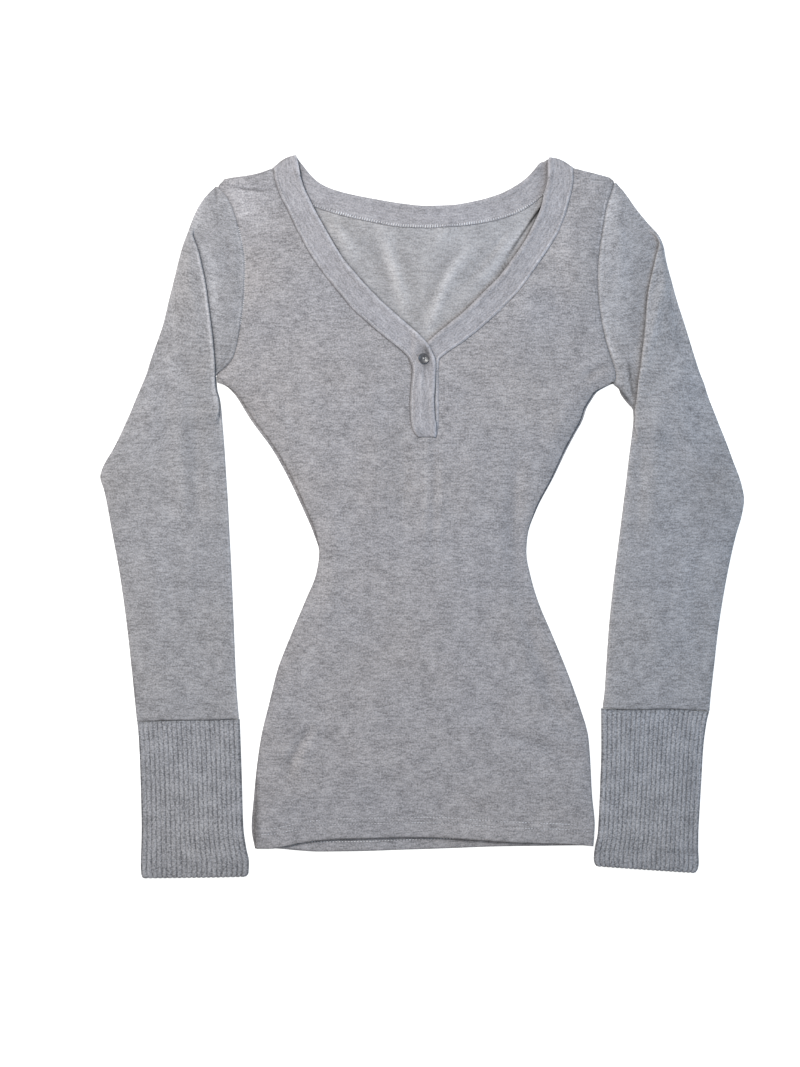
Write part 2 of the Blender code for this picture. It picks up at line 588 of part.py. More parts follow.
def sleeve_section(row, width):
    """One section of a sleeve, as named points (reach, height) with the way out of the wall.

    It runs from the inner end along the back layer, round the outer edge and back along the
    top layer, through the tuck where there is one, to the inner end of the top layer.
    """
    middle, radius = CLOTH_WALL / 2, FOLD_RADIUS
    closed = row.inner is not None
    inner = middle + radius if closed else 0.0
    level = middle + 2.0 * radius
    section = []
    tuck, top_level, hold = [], level, inner
    if row.fold is not None:
        tuck = tuck_points(row, fold_reach(row), level)
        top_level = tuck[-1][0][1]
        hold = max(point[0] for point, _ in tuck) + CLOTH_WALL
    room = width - middle - radius - hold
    crowding = 1.0 - ease(room, *CROWDED_ROOM) if row.fold is not None else 0.0
    edge_radius = radius + (top_level - level) / 2.0 * crowding
    edge = width - middle - edge_radius
    for number in range(SLEEVE_COLUMNS):
        reach = mix(inner, edge, number / SLEEVE_COLUMNS)
        section.append((("back", number), ((reach, middle), (0.0, -1.0))))
    rim = arc((edge, middle + edge_radius), edge_radius, -math.pi / 2, math.pi / 2, ARC_STEPS)
    section += [(("edge", number), point) for number, point in enumerate(rim)]
    edge_level = middle + 2.0 * edge_radius
    end = tuck[-1][0][0] if tuck else mix(inner, edge, 0.5)
    for number in range(1, SLEEVE_COLUMNS):
        reach = mix(edge, end, number / SLEEVE_COLUMNS)
        rise = ease(edge - reach, 0.0, max(edge - hold, LEAST_RUN)) if tuck else 0.0
        span = math.sin(math.pi * (edge - reach) / (edge - inner))
        height = mix(edge_level, top_level, rise) + SLEEVE_CROWN * span
        section.append((("top", number), ((reach, height), (0.0, 1.0))))
    if tuck:
        section += [(("tuck", number), point) for number, point in enumerate(tuck[::-1])]
        covered = tuck[0][0][0]
        visible = max(inner + LEAST_RUN, min(covered - LEAST_RUN, fold_reach(row) - SEAM_GAP))
        stops = (mix(covered, visible, 0.5), visible, mix(visible, inner, 0.5))
        bumps = (0.0, 0.0, 0.5)
    else:
        stops = (end, mix(end, inner, 0.35), mix(end, inner, 0.7))
        bumps = [math.sin(math.pi * (edge - stop) / (edge - inner)) for stop in stops]
    for number, (stop, bump) in enumerate(zip(stops, bumps)):
        section.append((("cap", number), ((stop, level + SLEEVE_CROWN * bump), (0.0, 1.0))))
    section.append((("cap", 3), ((inner, level), (0.0, 1.0))))
    if closed:
        rim = arc((inner, middle + radius), radius, math.pi / 2, 3 * math.pi / 2, ARC_STEPS)
        section += [(("inside", number), point) for number, point in enumerate(rim[1:-1])]
    return section


def make_sleeve(name, rows, yoke, sign, material):
    cloth = Cloth()
    sections = []
    record = namedtuple("Section", rows[0]._fields + ("armhole",))
    for number, row in enumerate(rows):
        armhole = None
        if row.inner is None:
            armhole = armhole_x(yoke, row.drop) + sign * ARMHOLE_INSET / SHEET_UNIT
        row = record(*row, armhole)
        start, end = row_inner(row), row.outer
        width = abs(end - start) * SHEET_UNIT
        keys = []
        for label, ((reach, height), (out_x, out_z)) in sleeve_section(row, width):
            share = reach / width
            x, y = place(mix(start, end, share), row.drop + row.slant * share)
            half = CLOTH_WALL / 2
            key = (number,) + label
            cloth.add_point(key, (x - sign * out_x * half, y, height - out_z * half),
                            (x + sign * out_x * half, y, height + out_z * half))
            keys.append((label, key))
        sections.append((keys, row.inner is not None))
    for (upper, upper_closed), (lower, lower_closed) in zip(sections, sections[1:]):
        join_sections(cloth, upper, lower, upper_closed and lower_closed, sign)
    return cloth.build(name, material)


def join_sections(cloth, upper, lower, closed, sign):
    """Faces between two sections; points that only one of them has join the face they lie on."""
    if closed:
        upper, lower = upper + upper[:1], lower + lower[:1]
    shared = [label for label, _ in upper if label in {label for label, _ in lower}]
    if not closed:
        shared = [label for label in shared if label[0] != "inside"]
    places = []
    high = low = -1
    for label in shared:
        high = next(i for i in range(high + 1, len(upper)) if upper[i][0] == label)
        low = next(i for i in range(low + 1, len(lower)) if lower[i][0] == label)
        places.append((high, low))
    for (high, low), (next_high, next_low) in zip(places, places[1:]):
        top = [key for _, key in upper[high:next_high + 1]]
        bottom = [key for _, key in lower[low:next_low + 1]]
        loop = top + bottom[::-1]
        cloth.add_face(loop if sign > 0 else loop[::-1])


def cuff_rings(width, ribs):
    """Outer and inner ring of a cuff's section, and which outer points each inner one faces."""
    radius = CLOTH_WALL / 2 + FOLD_RADIUS
    hollow = FOLD_RADIUS - CLOTH_WALL / 2
    edge = width - radius

    def crown(reach):
        return CUFF_CROWN * math.sin(math.pi * (reach - radius) / (edge - radius))

    outer = [point for point, _ in arc((edge, radius), radius, -math.pi / 2, math.pi / 2, ARC_STEPS)]
    inner = [point for point, _ in arc((edge, radius), hollow, -math.pi / 2, math.pi / 2, 2)]
    faced = [0, ARC_STEPS // 2, ARC_STEPS]
    steps = ribs * RIB_STEPS
    for step in range(1, steps):
        reach = mix(edge, radius, step / steps)
        rib = RIB_RISE * (0.5 - 0.5 * math.cos(2.0 * math.pi * step / RIB_STEPS))
        outer.append((reach, 2.0 * radius + crown(reach) + rib))
    for span in range(1, CUFF_COLUMNS):
        step = round(steps * span / CUFF_COLUMNS)
        reach = mix(edge, radius, step / steps)
        inner.append((reach, radius + hollow + crown(reach)))
        faced.append(ARC_STEPS + step)
    start = len(outer)
    outer += [point for point, _ in arc((radius, radius), radius, math.pi / 2, 3 * math.pi / 2, ARC_STEPS)]
    inner += [point for point, _ in arc((radius, radius), hollow, math.pi / 2, 3 * math.pi / 2, 2)]
    faced += [start, start + ARC_STEPS // 2, start + ARC_STEPS]
    return outer, inner, faced


def make_cuff(name, rows, sign, material):
    """A flattened ribbed tube: ribs stand on its top and edges, and its under side is flat."""
    shape = bmesh.new()
    ribs = round(abs(rows[0].outer - rows[0].inner) * SHEET_UNIT / RIB_PITCH)
    rings = []
    for row in rows:
        width = abs(row.outer - row.inner) * SHEET_UNIT
        outer, inner, faced = cuff_rings(width, ribs)
        made = []
        for ring in (outer, inner):
            spots = []
            for reach, height in ring:
                share = reach / width
                x, y = place(mix(row.inner, row.outer, share), row.drop + row.slant * share)
                spots.append(shape.verts.new((x, y, height)))
            made.append(spots)
        rings.append(made)
    for (upper, upper_in), (lower, lower_in) in zip(rings, rings[1:]):
        for i in range(len(upper)):
            shape.faces.new((upper[i - 1], upper[i], lower[i], lower[i - 1]))
        for i in range(len(upper_in)):
            shape.faces.new((upper_in[i], upper_in[i - 1], lower_in[i - 1], lower_in[i]))
    for (outer, inner), first in ((rings[0], True), (rings[-1], False)):
        for i, stop in enumerate(faced):
            begin = faced[i - 1]
            run = outer[begin:stop + 1] if stop > begin else outer[begin:] + outer[:stop + 1]
            loop = run + [inner[i], inner[i - 1]]
            shape.faces.new(loop[::-1] if first else loop)
    bmesh.ops.recalc_face_normals(shape, faces=shape.faces)
    return finish_object(name, shape, material)


def make_button(material):
    """A small domed button with a rim and four sewing holes, on the placket."""
    profile = table(
        "radius height",
        (0.93, 0.0), (1.0, 0.25), (1.0, 0.7), (0.93, 0.95), (0.82, 1.0), (0.7, 0.9), (0.62, 0.75),
    )
    x, y = place(BUTTON_X, BUTTON_DROP)
    base = OVERLAP_BASE + BAND_WALL + SEAM_GAP
    shape = bmesh.new()
    rings = []
    for row in profile:
        ring = []
        for segment in range(BUTTON_SEGMENTS):
            angle = 2.0 * math.pi * segment / BUTTON_SEGMENTS
            reach = row.radius * BUTTON_RADIUS
            ring.append(shape.verts.new((reach * math.cos(angle), reach * math.sin(angle),
                                         row.height * BUTTON_THICKNESS)))
        rings.append(ring)
    for lower, upper in zip(rings, rings[1:]):
        for i in range(BUTTON_SEGMENTS):
            shape.faces.new((lower[i - 1], lower[i], upper[i], upper[i - 1]))
    shape.faces.new(rings[0][::-1])
    shape.faces.new(rings[-1])
    button = finish_object("button", shape, material)
    button.location = (x, y, base)

    drill = bmesh.new()
    for step in range(4):
        angle = math.pi / 2 * step + math.pi / 4
        made = bmesh.ops.create_cone(
            drill, cap_ends=True, segments=HOLE_SEGMENTS, radius1=BUTTON_HOLE_RADIUS,
            radius2=BUTTON_HOLE_RADIUS, depth=4.0 * BUTTON_THICKNESS)
        shift = Vector((math.cos(angle), math.sin(angle), 0.0)) * BUTTON_HOLE_SPACING
        bmesh.ops.translate(drill, verts=made["verts"], vec=shift)
    holes = finish_object("button_drill", drill, material)
    holes.location = button.location
    holes.hide_render = True
    holes.display_type = "WIRE"
    cut = button.modifiers.new("holes", "BOOLEAN")
    cut.operation = "DIFFERENCE"
    cut.solver = "EXACT"
    cut.object = holes
    return button


def make_garment():
    for existing in list(bpy.data.objects):
        bpy.data.objects.remove(existing, do_unlink=True)
    knit = make_material("heather_knit", (0.37, 0.37, 0.38), 0.95)
    band = make_material("heather_band", (0.41, 0.41, 0.42), 0.95)
    rib = make_material("heather_rib", (0.34, 0.35, 0.37), 0.95)
    gloss = make_material("smoke_button", (0.06, 0.06, 0.07), 0.25)
    make_back(knit)
    make_front(knit)
    make_sleeve("sleeve_left", LEFT_SLEEVE, LEFT_YOKE, -1, knit)
    make_sleeve("sleeve_right", RIGHT_SLEEVE, RIGHT_YOKE, 1, knit)
    make_cuff("cuff_left", LEFT_CUFF, -1, rib)
    make_cuff("cuff_right", RIGHT_CUFF, 1, rib)
    make_back_band(band)
    make_left_band(band)
    make_right_band(band)
    make_button(gloss)


make_garment()
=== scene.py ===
# A fitted long-sleeved V-neck knit top with a one-button placket, laid flat and seen from above.
# Sizes are in millimetres: x from the placket's centre, drop down from the top of the neckband.
import math

import bmesh
import bpy
import numpy as np
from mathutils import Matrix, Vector, noise
from mathutils.bvhtree import BVHTree


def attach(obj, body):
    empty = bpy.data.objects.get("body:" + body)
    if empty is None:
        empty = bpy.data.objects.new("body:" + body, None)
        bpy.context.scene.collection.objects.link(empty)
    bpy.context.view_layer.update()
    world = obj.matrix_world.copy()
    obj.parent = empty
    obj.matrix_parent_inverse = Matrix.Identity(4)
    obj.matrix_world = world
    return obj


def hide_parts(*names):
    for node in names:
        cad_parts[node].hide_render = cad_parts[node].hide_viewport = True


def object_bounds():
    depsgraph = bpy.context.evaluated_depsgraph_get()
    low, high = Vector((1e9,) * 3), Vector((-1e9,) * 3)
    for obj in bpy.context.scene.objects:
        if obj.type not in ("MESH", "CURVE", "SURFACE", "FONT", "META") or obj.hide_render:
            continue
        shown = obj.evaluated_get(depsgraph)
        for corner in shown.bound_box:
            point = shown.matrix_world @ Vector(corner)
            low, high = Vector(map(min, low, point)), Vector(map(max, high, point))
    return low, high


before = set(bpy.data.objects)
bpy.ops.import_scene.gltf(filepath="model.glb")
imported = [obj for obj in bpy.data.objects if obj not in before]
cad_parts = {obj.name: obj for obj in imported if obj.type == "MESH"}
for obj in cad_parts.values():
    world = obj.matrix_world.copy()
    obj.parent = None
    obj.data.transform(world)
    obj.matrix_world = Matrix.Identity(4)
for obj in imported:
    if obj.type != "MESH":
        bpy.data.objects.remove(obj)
cadLow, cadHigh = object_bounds()
cadBox = [list(map(float, cadLow)), list(map(float, cadHigh))]
topY = cadBox[1][1]
mm = 0.001
body = "root"

cloth = {
    "wall": 1.0,         # thickness of the fine knit
    "under": 0.6,        # middle of the layer that lies on the floor
    "over": 2.1,         # middle of the layer on top of it
    "bandWall": 1.4,     # the doubled neckband and placket
    "band": 2.75,        # middle of the neckband
    "overlap": 4.65,     # middle of the left band where it lies on the right one
    "foldRadius": 0.75,  # where a sleeve or a cuff turns back at its edge
    "tubeInset": 1.35,   # from that edge to where the cloth starts to turn
    "seamInset": 0.12,   # each piece's share of the dark line along a seam
}


def table(columns, *rows):
    return dict(zip(columns.split(), np.array(rows, float).T))


def yokeTable(*rows):
    return table("armX armDrop neckX neckDrop innerX innerDrop backX backDrop", *rows)


def creases(*rows):
    # a row for each: the three places (x, drop) that it bends through, its width and its rise
    return np.array(rows, float)


def join(*parts):
    return np.concatenate([np.atleast_1d(np.asarray(part, float)) for part in parts])


def mix(a, b, share):
    return a + (b - a) * share


def ease(value, start=0.0, end=1.0):
    share = np.clip((value - start) / (end - start), 0.0, 1.0)
    return share * share * (3.0 - 2.0 * share)


def smoothLine(stops, values, at):
    # a cubic curve through the values that never swings past them
    gaps, rises = np.diff(stops), np.diff(values) / np.diff(stops)
    slopes = np.zeros(len(values))
    turning = rises[:-1] * rises[1:] <= 0
    safe = np.where(turning, 1.0, rises[:-1]), np.where(turning, 1.0, rises[1:])
    near, far = 2 * gaps[1:] + gaps[:-1], gaps[1:] + 2 * gaps[:-1]
    slopes[1:-1] = np.where(turning, 0.0, (near + far) / (near / safe[0] + far / safe[1]))
    slopes[0], slopes[-1] = rises[0], rises[-1]
    i = np.clip(np.searchsorted(stops, at, side="right") - 1, 0, len(gaps) - 1)
    t = (at - stops[i]) / gaps[i]
    rise = values[i + 1] - values[i]
    bend = (1 - t) * slopes[i] - t * slopes[i + 1]
    pull = rise * (2 * t - 1)
    return values[i] + t * rise + t * (1 - t) * (gaps[i] * bend + pull)


def chordStops(*lines):
    steps = [np.hypot(np.diff(x), np.diff(drop)) for x, drop in lines]
    return join(0.0, np.cumsum(np.mean(steps, axis=0)))


def rowStops(stops, step, fine=(), fineStep=1.2):
    # every stop of the table, with even ones between them, closer in the fine stretches
    parts = []
    for number, (a, b) in enumerate(zip(stops, stops[1:])):
        near = number in fine or number - len(stops) + 1 in fine
        count = math.ceil((b - a) / (fineStep if near else step))
        parts.append(np.linspace(a, b, max(1, count), endpoint=False))
    return join(*parts, stops[-1])


def edgeShares(count, crowd=0.5):
    # shares from 0 to 1, closer together towards both ends
    t = np.linspace(0.0, 1.0, count)
    return t - crowd * np.sin(2 * np.pi * t) / (2 * np.pi)


def lineDistance(x, drop, line):
    # distance to a line of points, and how far along it the nearest place lies, from 0 to 1
    best, along = np.full(x.shape, np.inf), np.zeros(x.shape)
    lengths = np.hypot(*np.diff(line, axis=0).T)
    total, passed = max(lengths.sum(), 1e-9), 0.0
    for (ax, ad), (bx, bd), length in zip(line, line[1:], lengths):
        share = np.clip(((x - ax) * (bx - ax) + (drop - ad) * (bd - ad)) / max(length, 1e-9) ** 2, 0, 1)
        away = np.hypot(x - ax - share * (bx - ax), drop - ad - share * (bd - ad))
        closer = away < best
        best, along = np.where(closer, away, best), np.where(closer, (passed + share * length) / total, along)
        passed += length
    return best, along


def creaseHeight(x, drop, rows):
    # soft ridges (rise over 0) and troughs (under 0); in the painted-shading tables, lines painted lighter
    # and darker
    height = np.zeros(x.shape)
    t = np.linspace(0.0, 1.0, 13)[:, None]
    for *places, width, rise in rows:
        start, middle, end = np.reshape(places, (3, 2))
        pull = 2 * middle - (start + end) / 2
        line = (1 - t) ** 2 * start + 2 * t * (1 - t) * pull + t ** 2 * end
        (left, top), (right, bottom) = line.min(axis=0) - 2.6 * width, line.max(axis=0) + 2.6 * width
        near = (x > left) & (x < right) & (drop > top) & (drop < bottom)
        if near.any():
            away, along = lineDistance(x[near], drop[near], line)
            height[near] += rise * np.sin(np.pi * along.clip(0.0, 1.0)) ** 0.7 * np.exp(-(away / width) ** 2)
    return height


def unevenness(x, drop, *waves):
    # soft waves, each with its height, its size and a seed
    total = 0.0
    for rise, size, seed in waves:
        flat = [noise.noise((a / size, b / size, seed)) for a, b in zip(x.ravel(), drop.ravel())]
        total = total + rise * np.array(flat).reshape(x.shape)
    return total


def clearOf(distance, reach):
    # from 0 on a line to 1 well clear of it
    return 1.0 - np.exp(-distance / reach)


def softLine(distance, width, amount):
    # a soft line's height or tone, by the distance from its middle
    return amount * np.exp(-(distance / width) ** 2)


print("size sheet")
yokes = {}
yokes["left"] = yokeTable(
    (-174, 20.5, -131, 11, -111, 0, -131, 11.5),
    (-179.5, 27, -130.5, 14.5, -109, 7.5, -128.5, 16),
    (-175, 32, -130, 19, -108, 13.5, -125, 22.5),
    (-170, 39, -128, 26.5, -106.5, 21, -116.5, 33),
    (-166, 48, -124, 37, -103.5, 29.5, -106, 40),
    (-162, 62, -118, 48.5, -98.5, 40, -95, 45),
    (-158.5, 77, -110, 65.5, -91, 54.5, -72.5, 52),
    (-156, 93.5, -100.5, 83, -82, 70.5, -46, 58),
    (-156.5, 112, -90, 99.5, -71.5, 88, -19.5, 62.5),
    (-157, 126, -76, 117, -59.5, 103, 2, 63.5),
    (-160, 149, -62, 134, -46, 118, 2, 95),
    (-162.5, 163.5, -46, 148.5, -31, 132.5, 2, 122),
    (-166.5, 177.5, -30.5, 161.5, -17, 145, 2, 148),
    (-172.5, 185.5, -19, 170.5, -4, 156.5, 2, 168),
    (-180.5, 192, -12.7, 177.2, 6, 168, 2, 182),
    (-180.3, 199, -8.7, 188, 11.5, 183, 2, 193),
)
yokes["right"] = yokeTable(
    (164.5, 19.2, 132, 11, 111, 2, 131.5, 11.5),
    (168.2, 22.8, 132.5, 15, 110, 8, 129, 16.5),
    (166.5, 30.5, 132.5, 21, 110, 16, 126, 21.5),
    (164.5, 36.5, 131.5, 28.5, 109.5, 24, 117, 28.5),
    (161.5, 46.5, 129, 39, 107, 33, 106, 35.5),
    (159, 61, 126, 50.5, 104.5, 44.5, 94.5, 44.5),
    (156.5, 77, 119, 68, 99.5, 56.5, 77, 53),
    (154.5, 93.5, 107.5, 86.5, 90, 75, 50.5, 59.5),
    (154, 109.5, 97.7, 101, 80.5, 89, 24, 62.5),
    (154.5, 124, 85, 119, 68, 106, 2, 63.5),
    (158, 148, 70, 134.5, 54, 120, 2, 95),
    (161, 162, 53.5, 149.5, 38, 136, 2, 122),
    (166.5, 179.5, 36, 163.5, 21.5, 149.5, 2, 148),
    (169.5, 189, 21.2, 173.5, 9, 160, 2, 168),
    (170, 195.5, 14.8, 180.2, -2, 173, 2, 182),
    (167, 200, 14.1, 190, -4, 190, 2, 193),
)
sides = table(
    "drop backLeft frontLeft frontRight backRight middle",
    (201, -174.7, -174.2, 164.3, 165, 195),
    (207.5, -167, -164.5, 151, 153.5, 204),
    (214, -162, -159, 146.5, 149, 214),
    (221.5, -157.5, -154, 142, 144.5, 225),
    (232, -151, -147.5, 138.5, 141, 236),
    (243, -143, -139, 132.5, 135, 247.5),
    (255, -134, -130, 126, 128.5, 259),
    (283, -118, -114, 113, 115, 283),
    (310.5, -105, -101.5, 99, 100.5, 310.5),
    (334, -95, -92.5, 92, 92.5, 334),
    (348, -91, -90.5, 91, 91.5, 348),
    (367.5, -93.5, -93.5, 94.5, 94.5, 367.5),
    (390, -102.5, -102.5, 101, 101, 390),
    (423.5, -116.5, -116.5, 115, 115, 423.5),
    (450.5, -127, -127, 126, 126, 450.5),
    (480.5, -134.5, -134.5, 137, 137, 480.5),
    (509.5, -141.5, -141.5, 145.5, 145.5, 509.5),
    (534, -145.5, -145, 147.5, 147.5, 534),
    (564, -148.5, -146, 149, 149.5, 562),
)
hemColumns = "leftX leftDrop middleDrop rightDrop rightX"
hems = {
    "front": table(hemColumns, (-147, 590.5, 580.5, 587.5, 151.3), (-146, 608.5, 598.2, 606.8, 150.2)),
    "back": table(hemColumns, (-150.5, 591, 591.5, 588, 151.7), (-147.5, 609, 609.2, 605.7, 149.6)),
}
hemLines = {
    "front": table("x drop", (-160, 608.9), (-133, 608.6), (-121, 606.4), (-108, 603.5), (-92, 601.1),
                   (-71, 599.6), (-40, 599), (-18, 598.2), (13, 598.4), (44, 600.3), (87, 602.9),
                   (125, 604.4), (141, 605.6), (160, 607.6)),
    "back": table("x drop", (-160, 608.9), (-131, 608.8), (-109, 610.5), (-92, 611.5), (-60, 611.2),
                  (-18, 609.9), (24, 608.5), (65, 607), (107, 606.4), (160, 605.9)),
}
shoulderSag = {"left": 2.1, "right": 0.4}       # the top edge hangs a little between the band and the sleeve
placket = table(
    "drop overLeft overRight underLeft underRight",
    (204, -10.1, 10.8, -4, 14.2),
    (217, -10.9, 10.2, -4, 14.2),
    (230, -10.3, 10.8, -4, 14.2),
    (238, -9, 12, -4, 14),
    (242.5, -7.4, 12, -4, 13.6),
    (247.2, -3.9, 12, -4, 12.6),
)
slot = {"left": (-9.2, -10.1, -10.9, -10.7, -9.5, -3.7), "right": (14.1, 14.2, 14.2, 14.2, 14.1, 12.6),
        "centre": 2.0}


def panelLines(side, layer):
    # the outer and the inner line of half a panel, from the shoulder down to the hem
    yoke, hem = yokes[side], hems[layer]
    below = len(sides["drop"]) + len(hem["leftX"])
    inner = "neck" if layer == "front" else "back"
    middle = np.full(below, slot["centre"])
    if layer == "front":
        middle = join(slot[side], np.full(below - len(slot[side]), slot[side][-1]))
    return {
        "outerX": join(yoke["armX"], sides[layer + side.title()], hem[side + "X"]),
        "outerDrop": join(yoke["armDrop"], sides["drop"], hem[side + "Drop"]),
        "innerX": join(yoke[inner + "X"], middle),
        "innerDrop": join(yoke[inner + "Drop"], sides["middle"], hem["middleDrop"]),
        "bend": join(np.zeros(below + len(yoke["armX"]) - 2), (1.0, 1.0) if side == "left" else (0.0, 0.0)),
    }


def cutLines(side):
    # the armhole, the front's outer line, the neck's seam and the neckband's free edge
    yoke, half = yokes[side], panelLines(side, "front")
    seamEdge, freeEdge = ("overLeft", "overRight") if side == "left" else ("underRight", "underLeft")
    lines = {
        "arm": (yoke["armX"], yoke["armDrop"]),
        "outer": (half["outerX"], half["outerDrop"]),
        "seam": (join(yoke["neckX"], placket[seamEdge]), join(yoke["neckDrop"], placket["drop"])),
        "edge": (join(yoke["innerX"], placket[freeEdge]), join(yoke["innerDrop"], placket["drop"])),
    }
    return {name: np.stack(line, axis=1) for name, line in lines.items()}


cuts = {side: cutLines(side) for side in ("left", "right")}


def awayFrom(name, x, drop, *sides):
    # distance to a cut line, or to the nearer of the left and the right one
    return np.min([lineDistance(x, drop, cuts[side][name])[0] for side in sides or cuts], axis=0)


bodyFolds = {
    "crown": 2.4, "crownReach": 15.0,     # how the front climbs away from its sides
    "groove": 1.2, "grooveReach": 5.0,    # and more steeply beside a seam
    "neckShare": 0.5, "neckReach": 9.0,   # part of the climb that is kept at the neck's seam
    "hemDrop": 602.0, "hemReach": 26.0, "hemShare": 0.72,
    "bandShare": 0.35,                    # part of the folds that a neckband takes up
    "waves": [(0.45, 46.0, 7.7), (0.22, 17.0, 2.3)],
}
bodyFolds["creases"] = creases(
    (-96, 501, -111, 523, -119, 548, 4.5, -2.2),            # fold from the waist to the left hip
    (-87, 498, -101, 520, -108, 548, 5, 1),
    (70, 508, 103, 517, 142, 531, 8, -2.2),                 # soft trough over the right hip
    (60, 498, 98, 503, 138, 512, 9, 1.2),
    (30, 529, 52, 534, 80, 543, 6, -0.5),
    (0, 600, 60, 603, 118, 600, 14, 1.4),                   # bright swelling above the hem
    (85, 255, 80, 325, 87, 385, 8, -2.4),                   # the side seam rolls beside the waist
    (86, 378, 99, 430, 127, 505, 8, -2),
    (-80, 300, -78, 365, -92, 430, 9, 1.4),
    (-45, 190, -40, 255, -42, 330, 13, 2),                  # drapes beside and below the placket
    (-19, 236, -16, 280, -19, 330, 6, -0.8),
    (-128.6, 31.2, -152, 30.2, -170.7, 25.5, 1.5, -0.5),    # shoulder seams, rolled to the front
    (130.3, 28.5, 138.2, 21.5, 145.3, 18, 1.5, -0.4),
    (3, 250, 3, 300, 1, 360, 4, 0.5),
    (17, 252, 17, 300, 13, 365, 4, 0.5),
    (9.5, 250, 10, 300, 7, 360, 3.5, -0.4),
    (40, 215, 46, 260, 40, 330, 12, 1.2),
    (141, 203, 149, 190, 166, 185, 4.5, -1.6),              # from the right armpit
    (128, 216, 120, 236, 108, 262, 7, 1.2),
    (-150, 205, -128, 226, -112, 262, 8, 1.5),              # from the left armpit
    (-138, 180, -112, 205, -90, 245, 12, 1.6),
    (-140, 60, -128, 110, -118, 160, 14, 1.1),
    (62, 92, 84, 118, 92, 165, 16, 2),                      # across the right chest
    (120, 60, 134, 95, 128, 150, 12, 1.1),
    (-60, 380, -30, 402, 10, 410, 14, 1.1),
    (20, 440, 48, 452, 84, 455, 15, 1.1),
    (-70, 560, -40, 540, 0, 536, 14, 1),
    (-20, 470, -44, 500, -52, 545, 15, 1),
)
# painted light and shade of the front's folds, seams and edges, as rows like the creases: over 0 painted
# lighter, under 0 painted darker
bodyFolds["marks"] = creases(
    (-127, 31.2, -152, 30.2, -173, 25, 1.2, -0.36),
    (-127, 33.9, -152, 32.9, -172, 28.2, 1.4, 0.08),
    (-174, 24, -156, 43, -146, 64, 11, 0.27),
    (131, 54, 122, 86, 111, 112, 6.5, 0.12),
    (92, 190, 86, 215, 78, 245, 22, 0.04),
    (142, 130, 134, 150, 130, 172, 8, -0.05),
    (14.9, 184, 15, 214, 14.9, 246, 0.9, 0.16),
    (164, 200.2, 165.8, 200.8, 168.3, 201.6, 1.7, -0.95),
    (165.8, 200.7, 167, 199.6, 168.2, 198.4, 1, -0.6),
    (163.4, 200, 165.7, 197.5, 167.6, 194.8, 0.9, 0.3),
    (165.2, 18, 159.2, 48, 153.8, 84, 0.9, 0.36),
    (130.3, 28.5, 138.2, 21.5, 145.3, 18, 1.3, 0.18),
    (2, 250, 2.5, 300, 2, 360, 2.2, 0.09),
    (14.5, 250, 15.5, 300, 15, 360, 2.2, 0.09),
    (8.5, 250, 9, 290, 8, 330, 2.4, -0.05),
    (-26, 197, -27, 262, -26, 330, 7, -0.055),
    (-90, 503, -106, 527, -111, 547, 3, 0.11),          # painted highlight on the fold over the left hip
    (-97, 499, -113, 523, -119, 545, 3.4, -0.13),
    (80, 508, 104, 517, 140, 529, 5.5, -0.08),          # painted shade in the trough over the right hip
    (76, 500, 104, 508, 138, 517, 5, 0.06),
    (40, 532, 55, 534, 72, 540, 4, -0.05),
    (77, 270, 79, 345, 84, 410, 7, -0.07),
    (88, 395, 102, 440, 119, 495, 10, -0.055),
    (89, 300, 88.5, 345, 93, 390, 3.5, 0.07),
    (-88, 302, -86, 360, -93, 430, 6, 0.07),
    (-145.5, 551, -146, 580, -143.5, 609, 3, -0.34),    # painted shade along the side seam at the hem
    (-142, 205, -118, 235, -95, 275, 20, 0.04),
    (142.6, 202, 151.4, 187, 166.3, 183.9, 2.4, -0.13),
    (140, 195, 147, 182, 160, 178, 3.5, 0.06),
    (62, 92, 84, 118, 92, 165, 15, 0.04),
    (108, 150, 104, 200, 88, 250, 14, -0.04),
    (10, 596, 60, 592, 110, 590, 11, 0.05),
    (-16, 186, -40, 187, -62, 192, 2.5, -0.05),         # painted shade of the folds strained from the button
    (-15, 195, -34, 198, -52, 206, 2.5, -0.04),
    (20, 184, 40, 180, 62, 170, 3, 0.04),
)
backFolds = {
    "rest": 0.23, "waves": [(0.3, 38.0, 3.1)],
}
backFolds["creases"] = creases(
    (-83, 53, -72, 68, -58, 90, 4.5, 1.2),      # light ridges inside the neck
    (-37, 61, -27, 92, -13.5, 138, 5, 1.7),
    (28, 58, 18, 68, 8, 80, 7, 1.4),
    (47, 79, 24, 106, 3, 160, 5, 1.6),
    (86, 60, 64, 92, 32, 134, 7, 1.5),
    (73, 67, 57, 89, 34, 113, 2, -1.4),         # a sharp fold beside the last one
    (-110, 330, -40, 350, 30, 345, 12, 0.4),    # slight ones on the side that rests
    (60, 420, 10, 450, -60, 455, 14, 0.4),
    (-90, 520, -20, 540, 60, 530, 14, 0.35),
    (-70, 215, -20, 240, 40, 225, 14, 0.35),
)
